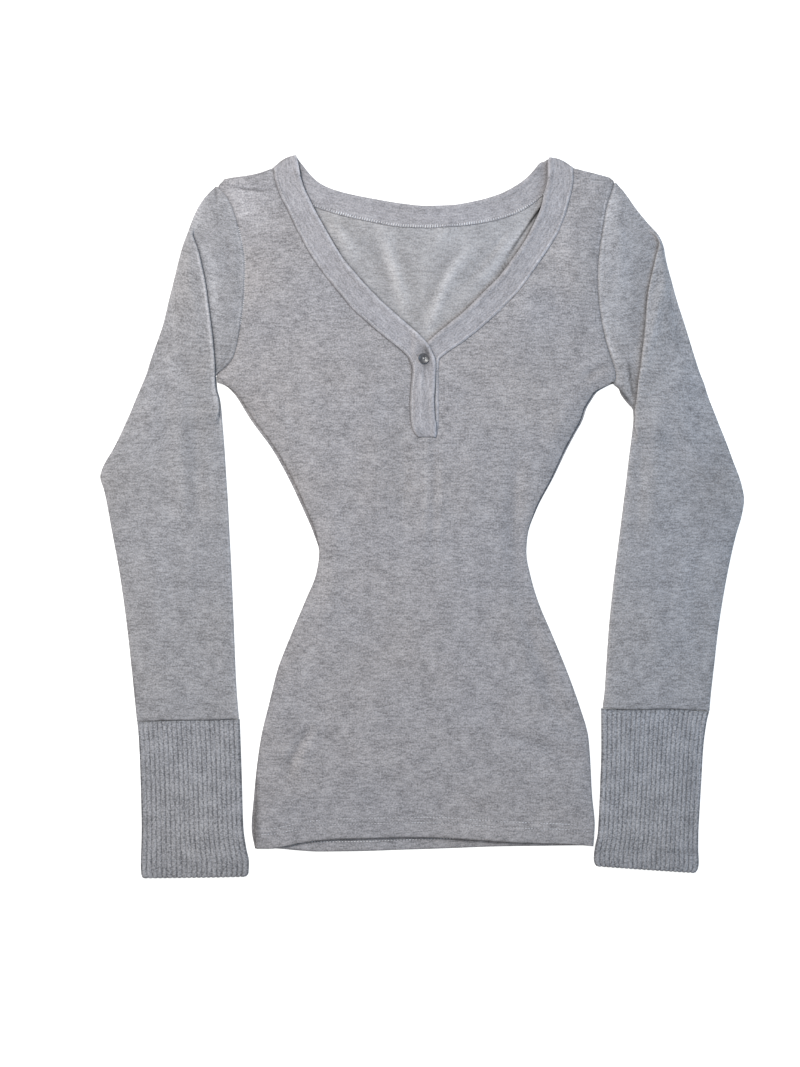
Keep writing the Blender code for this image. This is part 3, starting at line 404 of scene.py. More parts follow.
# painted light and shade of the back's folds inside the neck, as rows like the creases
backFolds["marks"] = creases(
    (105, 43, 88, 68, 68, 98.5, 1, -0.82),            # painted shadow: the dark wedge beside the right band
    (105, 42, 99.5, 51, 92, 61.5, 1.6, -0.45),
    (76, 90, 71, 97, 64, 107, 1.8, -0.22),
    (99, 50, 84, 68, 68, 92, 1.8, 0.1),
    (94, 54, 75, 79, 48, 118, 5, 0.17),
    (67, 85.5, 51.5, 99.3, 36.5, 110.5, 0.9, -0.36),
    (66, 68, 49, 90, 27, 112, 4, -0.08),
    (-38, 58, -27, 92, -13, 142, 5, 0.31),
    (-49, 58, -38, 94, -28, 124, 5, -0.15),
    (-22, 66, -13, 98, -4, 128, 5.5, -0.1),
    (-80, 58, -70, 71, -56, 90, 4.8, 0.26),
    (-69, 57, -59, 73, -47, 93, 4.5, -0.1),
    (35, 57, 21, 68, 9, 84, 7, 0.18),
    (49, 76, 24, 106, 3, 164, 4.4, 0.34),
    (36, 80, 12, 110, -5, 152, 5, -0.17),
    (-8, 132, -5, 144, 0, 160, 6, -0.07),
    (-150, 550, -150, 580, -147, 609, 2.5, -0.25),    # painted shade along the side seam at the hem
)


def backLift(x, drop):
    # how far the back's folds stand off the floor
    edge = clearOf(awayFrom("outer", x, drop), 6.0)
    soft = backFolds["rest"] + unevenness(x, drop, *backFolds["waves"])
    return np.maximum(0.0, soft + creaseHeight(x, drop, backFolds["creases"])) * edge


def frontLift(x, drop, onBand=False):
    # how far the front stands off the back; a neckband keeps the lift of the seam that it is sewn to
    folds, side = bodyFolds, awayFrom("outer", x, drop)
    climb = folds["crown"] * clearOf(side, folds["crownReach"])
    climb = climb + folds["groove"] * clearOf(side, folds["grooveReach"])
    neck = 0.0 if onBand else awayFrom("seam", x, drop)
    climb = climb * mix(folds["neckShare"], 1.0, clearOf(neck, folds["neckReach"]))
    toHem = np.maximum(0.0, folds["hemDrop"] - drop)
    climb = climb * (1.0 - folds["hemShare"] * np.exp(-toHem / folds["hemReach"]))
    soft = unevenness(x, drop, *folds["waves"]) + creaseHeight(x, drop, folds["creases"])
    soft = soft * clearOf(side, 5.0) * (folds["bandShare"] if onBand else 1.0)
    return climb + soft + backLift(x, drop)


def patchySeamShading(x, drop):
    # the painted light and shade along the seams comes and goes along their way
    return 0.8 + unevenness(x, drop, (0.9, 21.0, 4.4))


def faint(side, drop):
    # halfway down, the left armhole's seam shows less
    return 0.75 * (ease(drop, 62.0, 78.0) - ease(drop, 122.0, 146.0)) if side == "left" else 0.0 * drop


def frontPaintedShading(x, drop):
    # painted shade where the knit turns down into a seam or over an edge, a light line beside the left
    # armhole's seam halfway down, and the painted light and shade of the front's folds
    seams = softLine(awayFrom("outer", x, drop), 1.5, -0.14)
    for side, shown in (("left", 0.5), ("right", 0.2 * (1.0 - ease(drop, 174.0, 186.0)))):
        toArm = awayFrom("arm", x, drop, side)
        seams = seams + softLine(toArm, 1.0, -0.24) * patchySeamShading(x, drop) * (1.0 - faint(side, drop))
        seams = seams + softLine(toArm - 1.2, 0.8, 0.25) * faint(side, drop)
        seams = seams - shown * softLine(awayFrom("seam", x, drop, side), 0.9, 1.0)
    return seams + creaseHeight(x, drop, bodyFolds["marks"])


def backPaintedShading(x, drop):
    # painted shadow on the back along the front's edge and beside the bands, and the painted light and shade
    # of the back's folds
    beside = softLine(awayFrom("outer", x, drop), 1.5, -0.4) + softLine(awayFrom("edge", x, drop), 1.3, -0.66)
    return beside + creaseHeight(x, drop, backFolds["marks"])


print("cloth tools")


def selectOnly(*pieces):
    for other in bpy.context.selected_objects:
        other.select_set(False)
    for piece in pieces:
        piece.select_set(True)
        bpy.context.view_layer.objects.active = piece


def addObject(name, data):
    piece = bpy.data.objects.new(name, data)
    bpy.context.collection.objects.link(piece)
    return piece


def turned(grid, turn):
    # the same grid with its columns the other way round, so that its faces point up
    return tuple(part[:, ::-1] for part in grid) if turn else grid


def closedRing(values):
    return np.concatenate([values, values[:, :1]], axis=1)


def makeCloth(name, wall, *grids):
    # grids of points, knit places, tone (painted light and shade) and, where some are left out, the
    # faces kept; points that meet are joined into one, and the sheet gets its wall
    vertices, faces, places, paintedShades = [], [], [], []
    start = 0
    for points, knit, toneAndPaintedShade, *kept in grids:
        rows, columns = points.shape[:2]
        numbers = start + np.arange(rows * columns).reshape(rows, columns)
        corners = [numbers[:-1, :-1], numbers[1:, :-1], numbers[1:, 1:], numbers[:-1, 1:]]
        quads = np.stack(corners, axis=-1)[kept[0] if kept else ...]
        vertices.append(points.reshape(-1, 3))
        places.append(knit.reshape(-1, 2))
        paintedShades.append(np.broadcast_to(toneAndPaintedShade, (rows, columns)).ravel())
        faces.append(quads.reshape(-1, 4))
        start += rows * columns
    vertices, faces, places = np.concatenate(vertices), np.concatenate(faces), np.concatenate(places)
    vertices = np.stack([vertices[:, 0] * mm, topY - vertices[:, 1] * mm, vertices[:, 2] * mm], axis=1)
    mesh = bpy.data.meshes.new(name)
    mesh.from_pydata(vertices.tolist(), [], faces.tolist())
    layer = mesh.uv_layers.new(name="knit")
    layer.data.foreach_set("uv", (places[faces.ravel()] * mm).ravel())
    mesh.attributes.new("toneAndPaintedShade", "FLOAT", "POINT").data.foreach_set("value", np.concatenate(paintedShades))
    shape = bmesh.new()
    shape.from_mesh(mesh)
    loose = [vertex for vertex in shape.verts if not vertex.link_faces]
    bmesh.ops.delete(shape, geom=loose, context="VERTS")
    bmesh.ops.remove_doubles(shape, verts=shape.verts, dist=0.02 * mm)
    shape.to_mesh(mesh)
    shape.free()
    piece = addObject(name, mesh)
    selectOnly(piece)
    solid = piece.modifiers.new("wall", "SOLIDIFY")
    solid.thickness = wall * mm
    solid.offset = 0.0
    solid.use_even_offset = False
    bpy.ops.object.modifier_apply(modifier="wall")
    bpy.ops.object.shade_smooth()
    return piece


def finishPiece(piece, material, slotName, *nodes):
    piece.data.materials.append(material)
    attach(piece, body)
    if nodes:
        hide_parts(*nodes)


print("materials")


class Wire:
    # a socket's value in a shader; a sum or product of wires adds its Math node
    def __init__(self, shader, socket):
        self.shader, self.socket = shader, socket

    def work(self, operation, first, second):
        return self.shader.node("ShaderNodeMath", {"operation": operation}, {0: first, 1: second})

    def __add__(self, other):
        return self.work("ADD", self, other)

    def __radd__(self, other):
        return self.work("ADD", other, self)

    def __sub__(self, other):
        return self.work("SUBTRACT", self, other)

    def __rsub__(self, other):
        return self.work("SUBTRACT", other, self)

    def __mul__(self, other):
        return self.work("MULTIPLY", self, other)

    def __rmul__(self, other):
        return self.work("MULTIPLY", other, self)

    def __truediv__(self, other):
        return self.work("DIVIDE", self, other)

    def __pow__(self, other):
        return self.work("POWER", self, other)


class Shader:
    # a material with its nodes, each made with its settings first and its sockets after them
    def __init__(self, name):
        self.material = bpy.data.materials.new(name)
        self.material.use_nodes = True
        self.tree = self.material.node_tree
        self.surface = self.tree.nodes["Principled BSDF"]

    def node(self, kind, settings=None, sockets=None, output=0):
        made = self.tree.nodes.new(kind)
        for name, value in (settings or {}).items():
            setattr(made, name, value)
        self.fill(made, sockets or {})
        return Wire(self, made.outputs[output])

    def fill(self, node, sockets):
        for name, value in sockets.items():
            if isinstance(value, Wire):
                self.tree.links.new(value.socket, node.inputs[name])
            else:
                node.inputs[name].default_value = value

    def blend(self, share, first, second):
        return self.node("ShaderNodeMix", {"data_type": "RGBA", "clamp_factor": True},
                         {0: share, 6: (*first, 1.0), 7: (*second, 1.0)}, output=2)

    def noise(self, vector, size, detail=2.0, roughness=0.5):
        # noise whose blots are about size = (across, along) in millimetres
        scale = (1.0 / (size[0] * mm), 1.0 / (size[1] * mm), 1.0)
        shift = (size[0] * 0.61, size[1] * 0.61, 0.0)   # no two noises share a row
        spread = self.node("ShaderNodeMapping", {"vector_type": "POINT"},
                           {"Vector": vector, "Location": shift, "Scale": scale})
        return self.node("ShaderNodeTexNoise", {"noise_dimensions": "2D"},
                         {"Vector": spread, "Scale": 1.0, "Detail": detail, "Roughness": roughness})


knitLook = {
    "streak": (7.0, 2.1), "streakShare": 1.15,
    "grain": (1.3, 1.4), "grainShare": 1.0,
    "blotch": (17.0, 12.0), "blotchShare": 0.56,
    "cast": (95.0, 75.0), "casts": ((1.01, 1.0, 0.99), (0.988, 0.997, 1.016)),   # warmer and cooler stretches
    "fleck": (1.8, 1.1), "fleckShare": 0.5,
    "wale": 1.15, "course": 0.85, "bump": 0.35, "bumpDepth": 0.12,
    "roughness": 0.95, "sheen": 0.12, "sheenRoughness": 0.6,
}


def knitMaterial(name, dark, light, share=1.0, rib=None, streaks=knitLook["streak"]):
    # heathered fine knit: streaks along the courses, grain, flecks and soft blotches
    look = knitLook
    shader = Shader(name)
    place = shader.node("ShaderNodeUVMap", {"uv_map": "knit"})
    streak = shader.noise(place, streaks, 2.0, 0.6)
    grain = shader.noise(place, look["grain"], 1.0)
    fleck = shader.noise(place, look["fleck"], 0.0)
    blotch = shader.noise(place, look["blotch"], 2.0)
    toneAndPaintedShade = ((streak - 0.5) * look["streakShare"] + (grain - 0.5) * look["grainShare"]
            + (blotch - 0.5) * look["blotchShare"] + (fleck - 0.5) * look["fleckShare"]) * share + 0.5
    across, down = (shader.node("ShaderNodeSeparateXYZ", {}, {"Vector": place}, output) for output in (0, 1))
    if rib:
        # painted shade in the rib's valleys, deeper in some stretches than in others
        turns = across * (2 * math.pi / (rib * mm))
        wave = shader.node("ShaderNodeMath", {"operation": "COSINE"}, {0: turns})
        valleyShade = (0.5 + wave * 0.5) ** 2.6
        depth = shader.noise(place, (6.0, 14.0), 1.0)
        toneAndPaintedShade = toneAndPaintedShade - valleyShade * (depth * 0.74 + 0.03) + 0.11
    tint = shader.blend(toneAndPaintedShade, dark, light)
    cast = shader.blend((shader.noise(place, look["cast"], 1.0) - 0.5) * 2.2 + 0.5, *look["casts"])
    tint = shader.node("ShaderNodeVectorMath", {"operation": "MULTIPLY"}, {0: tint, 1: cast})
    # the tone attribute is painted light and shade: painted shade in seams, troughs and under edges, painted
    # highlights on ridges and rolled edges
    shade = shader.node("ShaderNodeAttribute", {"attribute_name": "toneAndPaintedShade"}, output=2)
    tint = shader.node("ShaderNodeVectorMath", {"operation": "SCALE"}, {0: tint, "Scale": shade + 1.0})
    loop = shader.node("ShaderNodeMath", {"operation": "PINGPONG"}, {0: across / (look["wale"] * mm), 1: 0.5})
    course = (down / (look["course"] * mm) + loop * 0.9) * (2 * math.pi)
    stitch = shader.node("ShaderNodeMath", {"operation": "SINE"}, {0: course}) * 0.5 + loop * 1.2
    relief = stitch + grain * 1.5
    normal = shader.node("ShaderNodeBump", {}, {"Strength": look["bump"], "Distance": look["bumpDepth"] * mm,
                                                "Height": relief})
    shader.fill(shader.surface, {"Base Color": tint, "Roughness": look["roughness"], "Normal": normal,
                                 "Sheen Weight": look["sheen"], "Sheen Roughness": look["sheenRoughness"],
                                 "Specular IOR Level": 0.15})
    return shader.material


bodyKnit = knitMaterial("heatherKnit", (0.1525, 0.1475, 0.1535), (0.397, 0.381, 0.3915))
sleeveKnit = knitMaterial("heatherSleeve", (0.147, 0.144, 0.150), (0.379, 0.371, 0.384))
insideKnit = knitMaterial("heatherInside", (0.206, 0.201, 0.206), (0.410, 0.401, 0.411), share=0.95)
bandKnit = knitMaterial("heatherBand", (0.180, 0.174, 0.184), (0.418, 0.405, 0.425), share=0.85)
cuffKnit = knitMaterial("heatherRib", (0.103, 0.1035, 0.112), (0.377, 0.376, 0.396), share=1.0, rib=4.4,
                        streaks=(2.0, 2.2))
threadKnit = knitMaterial("heatherThread", (0.40, 0.398, 0.415), (0.60, 0.595, 0.615), share=0.8)
cuffThread = knitMaterial("cuffThread", (0.17, 0.175, 0.19), (0.40, 0.405, 0.425), share=0.6)
plainThread = knitMaterial("plainThread", (0.46, 0.46, 0.48), (0.74, 0.74, 0.76))


print("panels")
panel = {
    "front": {"columns": 71, "rows": 2.5, "fine": (0, 1, 2, 3, 13, 14, 15, -1), "fineRows": 1.2},
    "back": {"columns": 101, "rows": 5.0, "fine": (*range(15), -2, -1), "fineRows": 1.9},
    "middleColumns": 16,
    "hemRows": {"front": (17.6, 12.8), "back": (8.5, 8.5)},    # the stitches above the edge
}


def halfGrid(side, layer):
    # half a panel's rows, from its outer line to its inner one
    lines, grid = {name: panelLines(name, layer) for name in cuts}, panel[layer]
    stops = chordStops(*((line[end + "X"], line[end + "Drop"]) for line in lines.values()
                         for end in ("outer", "inner")))
    at = rowStops(stops, grid["rows"], grid["fine"], grid["fineRows"])
    row = {name: smoothLine(stops, line, at)[:, None] for name, line in lines[side].items()}
    share = edgeShares(grid["columns"])[None, :]
    width = np.hypot(row["outerX"] - row["innerX"], row["outerDrop"] - row["innerDrop"])
    inset = cloth["seamInset"] / width
    atNeck = at[:, None] < stops[len(yokes[side]["armX"]) - 1]
    share = mix(inset, np.where(atNeck, 1.0 - inset, 1.0), share)
    sink = mix(share, ease(share, 0.0, 0.5), row["bend"])
    x = mix(row["outerX"], row["innerX"], share)
    drop = mix(row["outerDrop"], row["innerDrop"], sink)
    drop = drop + shoulderSag[side] * np.sin(np.pi * share ** 1.4) * np.exp(-(at[:, None] / 14.0) ** 2)
    toHem = hemEdge(x[-1:], layer) - drop[-1:]
    drop = drop + toHem * ease(at[:, None], at[-1] - 70.0, at[-1])
    return x, drop, at, stops


def hemEdge(x, layer):
    return smoothLine(hemLines[layer]["x"], hemLines[layer]["drop"], x)


def hemRelief(x, drop, layer):
    # the turned-up hem is a little thicker below its two rows of stitches, and rolls at its edge; painted
    # shade lies along both rows and along the edge
    above = hemEdge(x, layer) - drop
    upper, lower = panel["hemRows"][layer]
    turned = 0.5 * (1.0 - ease(above, upper - 1.0, upper + 2.0))
    rows = softLine(above - upper, 1.2, -0.4) + softLine(above - lower, 1.1, -0.35)
    toneAndPaintedShade = softLine(above - upper, 1.2, -0.1) + softLine(above - lower, 1.1, -0.1)
    toneAndPaintedShade = toneAndPaintedShade + softLine(above, 1.0, -0.1)
    return turned + rows + softLine(above, 1.0, -0.2), toneAndPaintedShade


def panelGrid(x, drop, layer):
    relief, toneAndPaintedShade = hemRelief(x, drop, layer)
    if layer == "front":
        height, toneAndPaintedShade = cloth["over"] + frontLift(x, drop) + relief, toneAndPaintedShade + frontPaintedShading(x, drop)
    else:
        height, toneAndPaintedShade = cloth["under"] + backLift(x, drop) + 0.4 * relief.clip(0.0), toneAndPaintedShade + backPaintedShading(x, drop)
    points = np.stack([x, drop, height], axis=-1)
    return points, points[..., :2], toneAndPaintedShade


def makePanel(layer):
    grids = []
    for side in cuts:
        x, drop, at, stops = halfGrid(side, layer)
        if layer == "back":
            x[at >= stops[9] - 1e-6, -1] = slot["centre"]
        grids.append(turned(panelGrid(x, drop, layer), side == "right"))
    if layer == "front":
        # the cloth below the placket's slot
        left, right = grids[0][0][:, -1], grids[1][0][:, 0]
        below = np.searchsorted(at, stops[len(yokes["left"]["armX"]) + 5] - 1e-6)
        share = np.linspace(0.0, 1.0, panel["middleColumns"])[None, :, None]
        points = mix(left[below:, None], right[below:, None], share)
        middle = panelGrid(points[..., 0], points[..., 1], layer)
        middle[0][:, [0, -1]] = points[:, [0, -1]]
        grids.append(middle)
    made = makeCloth(layer + "Panel", cloth["wall"], *grids)
    finishPiece(made, bodyKnit, "body_knit", layer + "_panel")
    return made


frontPanel, backPanel = makePanel("front"), makePanel("back")
backPanel.data.materials.append(insideKnit)
for face in backPanel.data.polygons:
    if face.normal.z > 0.3 and face.center.y > topY - 200 * mm:
        face.material_index = 1
print("  front", len(frontPanel.data.polygons), "back", len(backPanel.data.polygons))


print("neckbands")
band = {
    "columns": 27, "rows": 2.0,
    "bow": 2.4,                                        # how far an end at the shoulder is bowed up
    "backLevel": 0.85,                                 # middle of the back's band
    "seamDip": 0.4, "seamWidth": 1.1,
    "welt": 0.35, "weltAt": 1.9, "weltWidth": 0.9,     # the line of sewing beside the seam
    "roll": 0.6, "rollAt": 2.4, "rollWidth": 1.9,      # the rolled inner edge
    "edgeDip": 0.6, "edgeWidth": 1.0,
    "overlap": (-10.5, -5.5),                          # the left band climbs onto the right one
    "leftBandShading": (-0.36, 0.12, -0.07, 0.36),           # painted shade at the seam, painted highlight on the welt, painted shade beside the stitches, painted highlight on the roll
    "rightBandShading": (-0.12, 0.36, -0.14, 0.03),
    "backBandShading": (-0.26, 0.0, 0.0, 0.0),
    "endSink": {"left": 1.8, "right": 0.6},            # its lower end is sewn down
}
band["leftCreases"] = creases(
    (0, 168, 0.6, 176, 1, 186, 4.5, -0.8),    # the hollow that the button sits in
    (-1.8, 186, -1.8, 198, -1.8, 212, 1.3, 0.35),
    (2, 182, 1.8, 192, 1.8, 204, 1.5, -0.4),
    (-1, 205, -1.5, 225, -2, 243, 2, 0.25),
)
# painted light and shade on the left band: the hollow round the button, lit streaks down the placket and
# lines beside its edges
band["leftMarks"] = creases(
    (-2.5, 165, -0.5, 171, 1, 185, 3.4, -0.28),
    (0.5, 165, 4.4, 173, 4.8, 187, 1.8, -0.55),    # painted shadow right of the button, under the rolled edge
    (-1.9, 189, -1.9, 200, -1.9, 213, 0.8, 0.38),
    (1.8, 184, 1.8, 191, 1.8, 198, 1.1, -0.28),
    (-1.6, 208, -1.8, 223, -2, 240, 0.85, 0.27),
    (2.1, 192, 2.2, 208, 2, 224, 1.3, -0.1),
    (0.6, 180.5, 1.6, 184, 2, 188, 2.6, -0.34),    # painted shade below the button
    (-8.4, 234, -7.2, 241, -3.5, 245.5, 0.9, 0.15),
    (5.4, 196, 5.2, 215, 6.5, 236, 1.1, 0.1),
    (-9, 175, -7.2, 182, -7.4, 192, 1.4, 0.1),
    (11.2, 183, 10.4, 212, 11.6, 240, 1.1, -0.25),
    (-12, 178, -8.5, 182, -8.8, 190, 1.2, -0.25),
    (-126, 5.5, -121.5, 3, -116.7, 1.4, 0.9, -0.35),
)
band["rightCreases"] = creases(
    (104, 34, 84, 78, 52, 118, 4, 0.3),
    (120, 40, 104, 78, 74, 118, 4, -0.3),
)
# painted light and shade on the right band
band["rightMarks"] = creases(
    (13.8, 182, 13.9, 212, 13.6, 245, 0.8, 0.32),
    (106, 34, 90, 72, 62, 112, 2.2, -0.08),
    (40, 132, 26, 146, 10, 162, 6, -0.07),
)


def bandRelief(fromSeam, fromEdge):
    dip = softLine(fromSeam, band["seamWidth"], -band["seamDip"])
    welt = softLine(fromSeam - band["weltAt"], band["weltWidth"], band["welt"])
    roll = softLine(fromEdge - band["rollAt"], band["rollWidth"], band["roll"])
    edge = softLine(fromEdge, band["edgeWidth"], -band["edgeDip"])
    return dip + welt + roll + edge


def bandPaintedShading(x, drop, fromSeam, fromEdge, side):
    # painted shade along the seam and beside the stitches, painted highlights on the welt and the rolled
    # edge, and faint painted shade 5 mm in from the free edge
    seamShade, weltHighlight, stitchShade, rollHighlight = band[side + "BandShading"]
    seam = seamShade * (1.0 - ease(drop, 174.0, 186.0) if side == "right" else 1.0)
    return (seam * softLine(fromSeam, 0.8, 1.0)
            + softLine(fromSeam - band["weltAt"], 0.7, weltHighlight) * patchySeamShading(x, drop)
            + softLine(fromSeam - band["weltAt"] - 1.4, 0.6, stitchShade) * patchySeamShading(drop, x)
            + softLine(fromEdge - 1.3, 0.9, rollHighlight) + softLine(fromEdge - 5.0, 1.2, -0.06))


def bandGrid(seam, free, *arched):
    # rows of points from a band's seam to its free edge; the arched ends are bowed at the shoulder
    arch = np.zeros(len(seam[0]))
    arch[list(arched)] = 1.0
    stops = chordStops(seam, free)
    at = rowStops(stops, band["rows"])
    seamX, seamDrop, freeX, freeDrop = (smoothLine(stops, line, at)[:, None] for line in (*seam, *free))
    width = np.hypot(seamX - freeX, seamDrop - freeDrop)
    share = mix(cloth["seamInset"] / width, 1.0, edgeShares(band["columns"], 0.3)[None, :])
    bow = band["bow"] * smoothLine(stops, arch, at)[:, None] * np.sin(np.pi * share)
    x, drop = mix(seamX, freeX, share), mix(seamDrop, freeDrop, share) - bow
    along = np.broadcast_to(at[:, None], x.shape)
    return x, drop, share * width, (1.0 - share) * width, along


def makeFrontBand(side):
    x, drop, fromSeam, fromEdge, along = bandGrid(cuts[side]["seam"].T, cuts[side]["edge"].T, 0)
    base = cloth["band"]
    if side == "left":
        base = mix(cloth["band"], cloth["overlap"], ease(x, *band["overlap"]))
    height = base + frontLift(x, drop, onBand=True) + bandRelief(fromSeam, fromEdge)
    height = height + creaseHeight(x, drop, band[side + "Creases"])
    height = height - band["endSink"][side] * ease(drop, 236.0, 247.0)
    toneAndPaintedShade = bandPaintedShading(x, drop, fromSeam, fromEdge, side) + creaseHeight(x, drop, band[side + "Marks"])
    if side == "right":
        # painted shadow of the left band's edge on the right band
        toneAndPaintedShade = toneAndPaintedShade + softLine(awayFrom("edge", x, drop, "left"), 1.1, -0.4)
    grid = np.stack([x, drop, height], axis=-1), np.stack([along, fromSeam], axis=-1), toneAndPaintedShade
    return makeCloth("neckband" + side.title(), cloth["bandWall"], turned(grid, side == "right"))


backBandTop = table(
    "leftX leftDrop rightX rightDrop",
    (-110.5, 1, 109.5, 3),
    (-108.5, 4, 107.5, 4.5),
    (-106, 7, 104, 5.5),
    (-100.5, 14, 98.5, 11.5),
    (-92.5, 22, 91.5, 19),
    (-84, 27, 81, 26.5),
    (-67, 32.5, 67, 33.5),
    (-42.5, 37.5, 46, 39.5),
    (-18, 41.5, 23.5, 43),
    (2, 43.5, 2, 43.5),
)


def backNeck(first, count):
    # the back's neck seam from the left shoulder to the right one, between two rows of the yokes
    left, right = (yokes[side] for side in cuts)
    return [join(left["back" + end][first:count], right["back" + end][first:count - 1][::-1])
            for end in ("X", "Drop")]


def makeBackBand():
    free = [join(backBandTop["left" + end], backBandTop["right" + end][:-1][::-1]) for end in ("X", "Drop")]
    x, drop, fromSeam, fromEdge, along = bandGrid(backNeck(0, 10), free, 0, -1)
    height = band["backLevel"] + backLift(x, drop) + bandRelief(fromSeam, fromEdge).clip(-0.1) * 0.6
    # painted shading as on the front bands, darker towards the right end, and painted shadow beside the front
    # bands' free edges
    toneAndPaintedShade = bandPaintedShading(x, drop, fromSeam, fromEdge, "back") - 0.12 * ease(x, 92.0, 104.0)
    for side, amount in (("left", -0.36), ("right", -0.3)):
        toneAndPaintedShade = toneAndPaintedShade + softLine(awayFrom("edge", x, drop, side), 1.9, amount)
    grid = np.stack([x, drop, height], axis=-1), np.stack([along, fromSeam], axis=-1), toneAndPaintedShade
    return makeCloth("neckbandBack", cloth["bandWall"], grid)


neckbandLeft, neckbandRight, neckbandBack = makeFrontBand("left"), makeFrontBand("right"), makeBackBand()
neckbands = {"left": neckbandLeft, "right": neckbandRight, "back": neckbandBack}
for side, piece in neckbands.items():
    finishPiece(piece, bandKnit, "band_knit", "neckband_" + side)


print("sleeves")
seam = math.nan       # the section ends on the armhole
sleeveColumns = "drop inner outer slant fold tuck turn"
sleeve = {
    "backColumns": 20, "arcSteps": 6, "topColumns": 32, "tuckSteps": 6, "capColumns": 30, "rows": 2.6,
    "crown": 2.2, "innerReach": 9.0, "outerReach": 17.0,
    "groove": 1.3, "grooveReach": 5.0,
    "welt": 0.4, "weltAt": 2.0, "weltWidth": 1.0,       # the sewing beside the armhole's seam
    "grain": 0.34, "grainEnds": (215.0, 90.0),          # the cap's courses run aslant
    "endReach": 14.0, "endShare": 0.5,
    "waves": [(0.4, 34.0, 5.2), (0.22, 14.0, 8.9)], "underWaves": [(0.2, 40.0, 1.4)],
    "foldHighlight": {"left": (1.8, 1.0, 0.55), "right": (1.3, 1.3, 0.16)},   # painted highlight along the turned edge
    "wave": {"left": 0.25, "right": 0.7},
    "rimHighlight": {"left": 0.2, "right": 0.08},                 # and a painted highlight along the sleeve's inner edge
    "underCreases": {"left": creases((-232, 240, -210, 300, -200, 380, 14, 0.4)),
                     "right": creases((236, 240, 214, 300, 202, 380, 14, 0.4))},
}
sleeve["left"] = table(
    sleeveColumns,
    (27.3, seam, -182.5, 0, -181.1, 0, 0),
    (28.5, seam, -183.7, 0, -181.6, 0, 0),
    (32, seam, -187.5, 0, -183.5, 0, 0),
    (39, seam, -193.5, 0, -187.5, 0, 0),
    (48, seam, -199, 0, -192, 0, 0),
    (56, seam, -202.5, 0, -196.5, 0, 4),
    (62, seam, -204.8, 0, -199.5, 0, 14),
    (66, seam, -206, 0, -201, 0, 50),
    (70, seam, -207.3, 0, -201, 0.3, 120),
    (77, seam, -210.2, 0, -198.8, 2, 180),
    (83, seam, -212.2, 0, -196.5, 3.5, 180),
    (93.5, seam, -215, 0, -194, 6, 180),
    (112, seam, -219.5, 0, -190, 10, 180),
    (126, seam, -223, 0, -188, 13, 180),
    (149, seam, -228.5, 0, -185, 17, 180),
    (163.5, seam, -233.5, 0, -183.3, 20, 180),
    (177.5, seam, -238.5, 0, -182.2, 22, 180),
    (185.5, seam, -241, 0, -181.8, 23, 180),
    (192, seam, -243, 0, -181.8, 23, 180),
    (194, -181, -243.8, 0, -182, 22.5, 180),
    (204, -180.4, -248, 0, -181.5, 17, 180),
    (214.5, -177.8, -252.5, 0, -179, 9, 180),
    (222, -176.8, -255.5, 0, -178.2, 2.5, 180),
    (228, -176.2, -258, 0, -178.8, 0.5, 110),
    (234, -175.8, -260.8, 0, -179.3, 0, 50),
    (240, -175.3, -263.5, 0, -179.3, 0, 0),
    (256.5, -174, -271.5, 0, -181, 0, 0),
    (275.5, -172.8, -282, 0, -185, 0, 0),
    (282, -172.4, -283.6, 0, -187, 0, 0),
    (293.5, -171.6, -280.2, 0, -190, 0, 0),
    (328.5, -169.7, -273.5, 0, -195, 0, 0),
    (365.5, -167.8, -266.7, 0, -195, 0, 0),
    (411, -165.8, -260.3, 0, -193, 0, 0),
    (450, -164.3, -256, 0, -190, 0, 0),
    (473.5, -163, -253.5, 1, -188, 0, 0),
    (494.6, -161.2, -251.3, 2.2, -187, 0, 0),
)
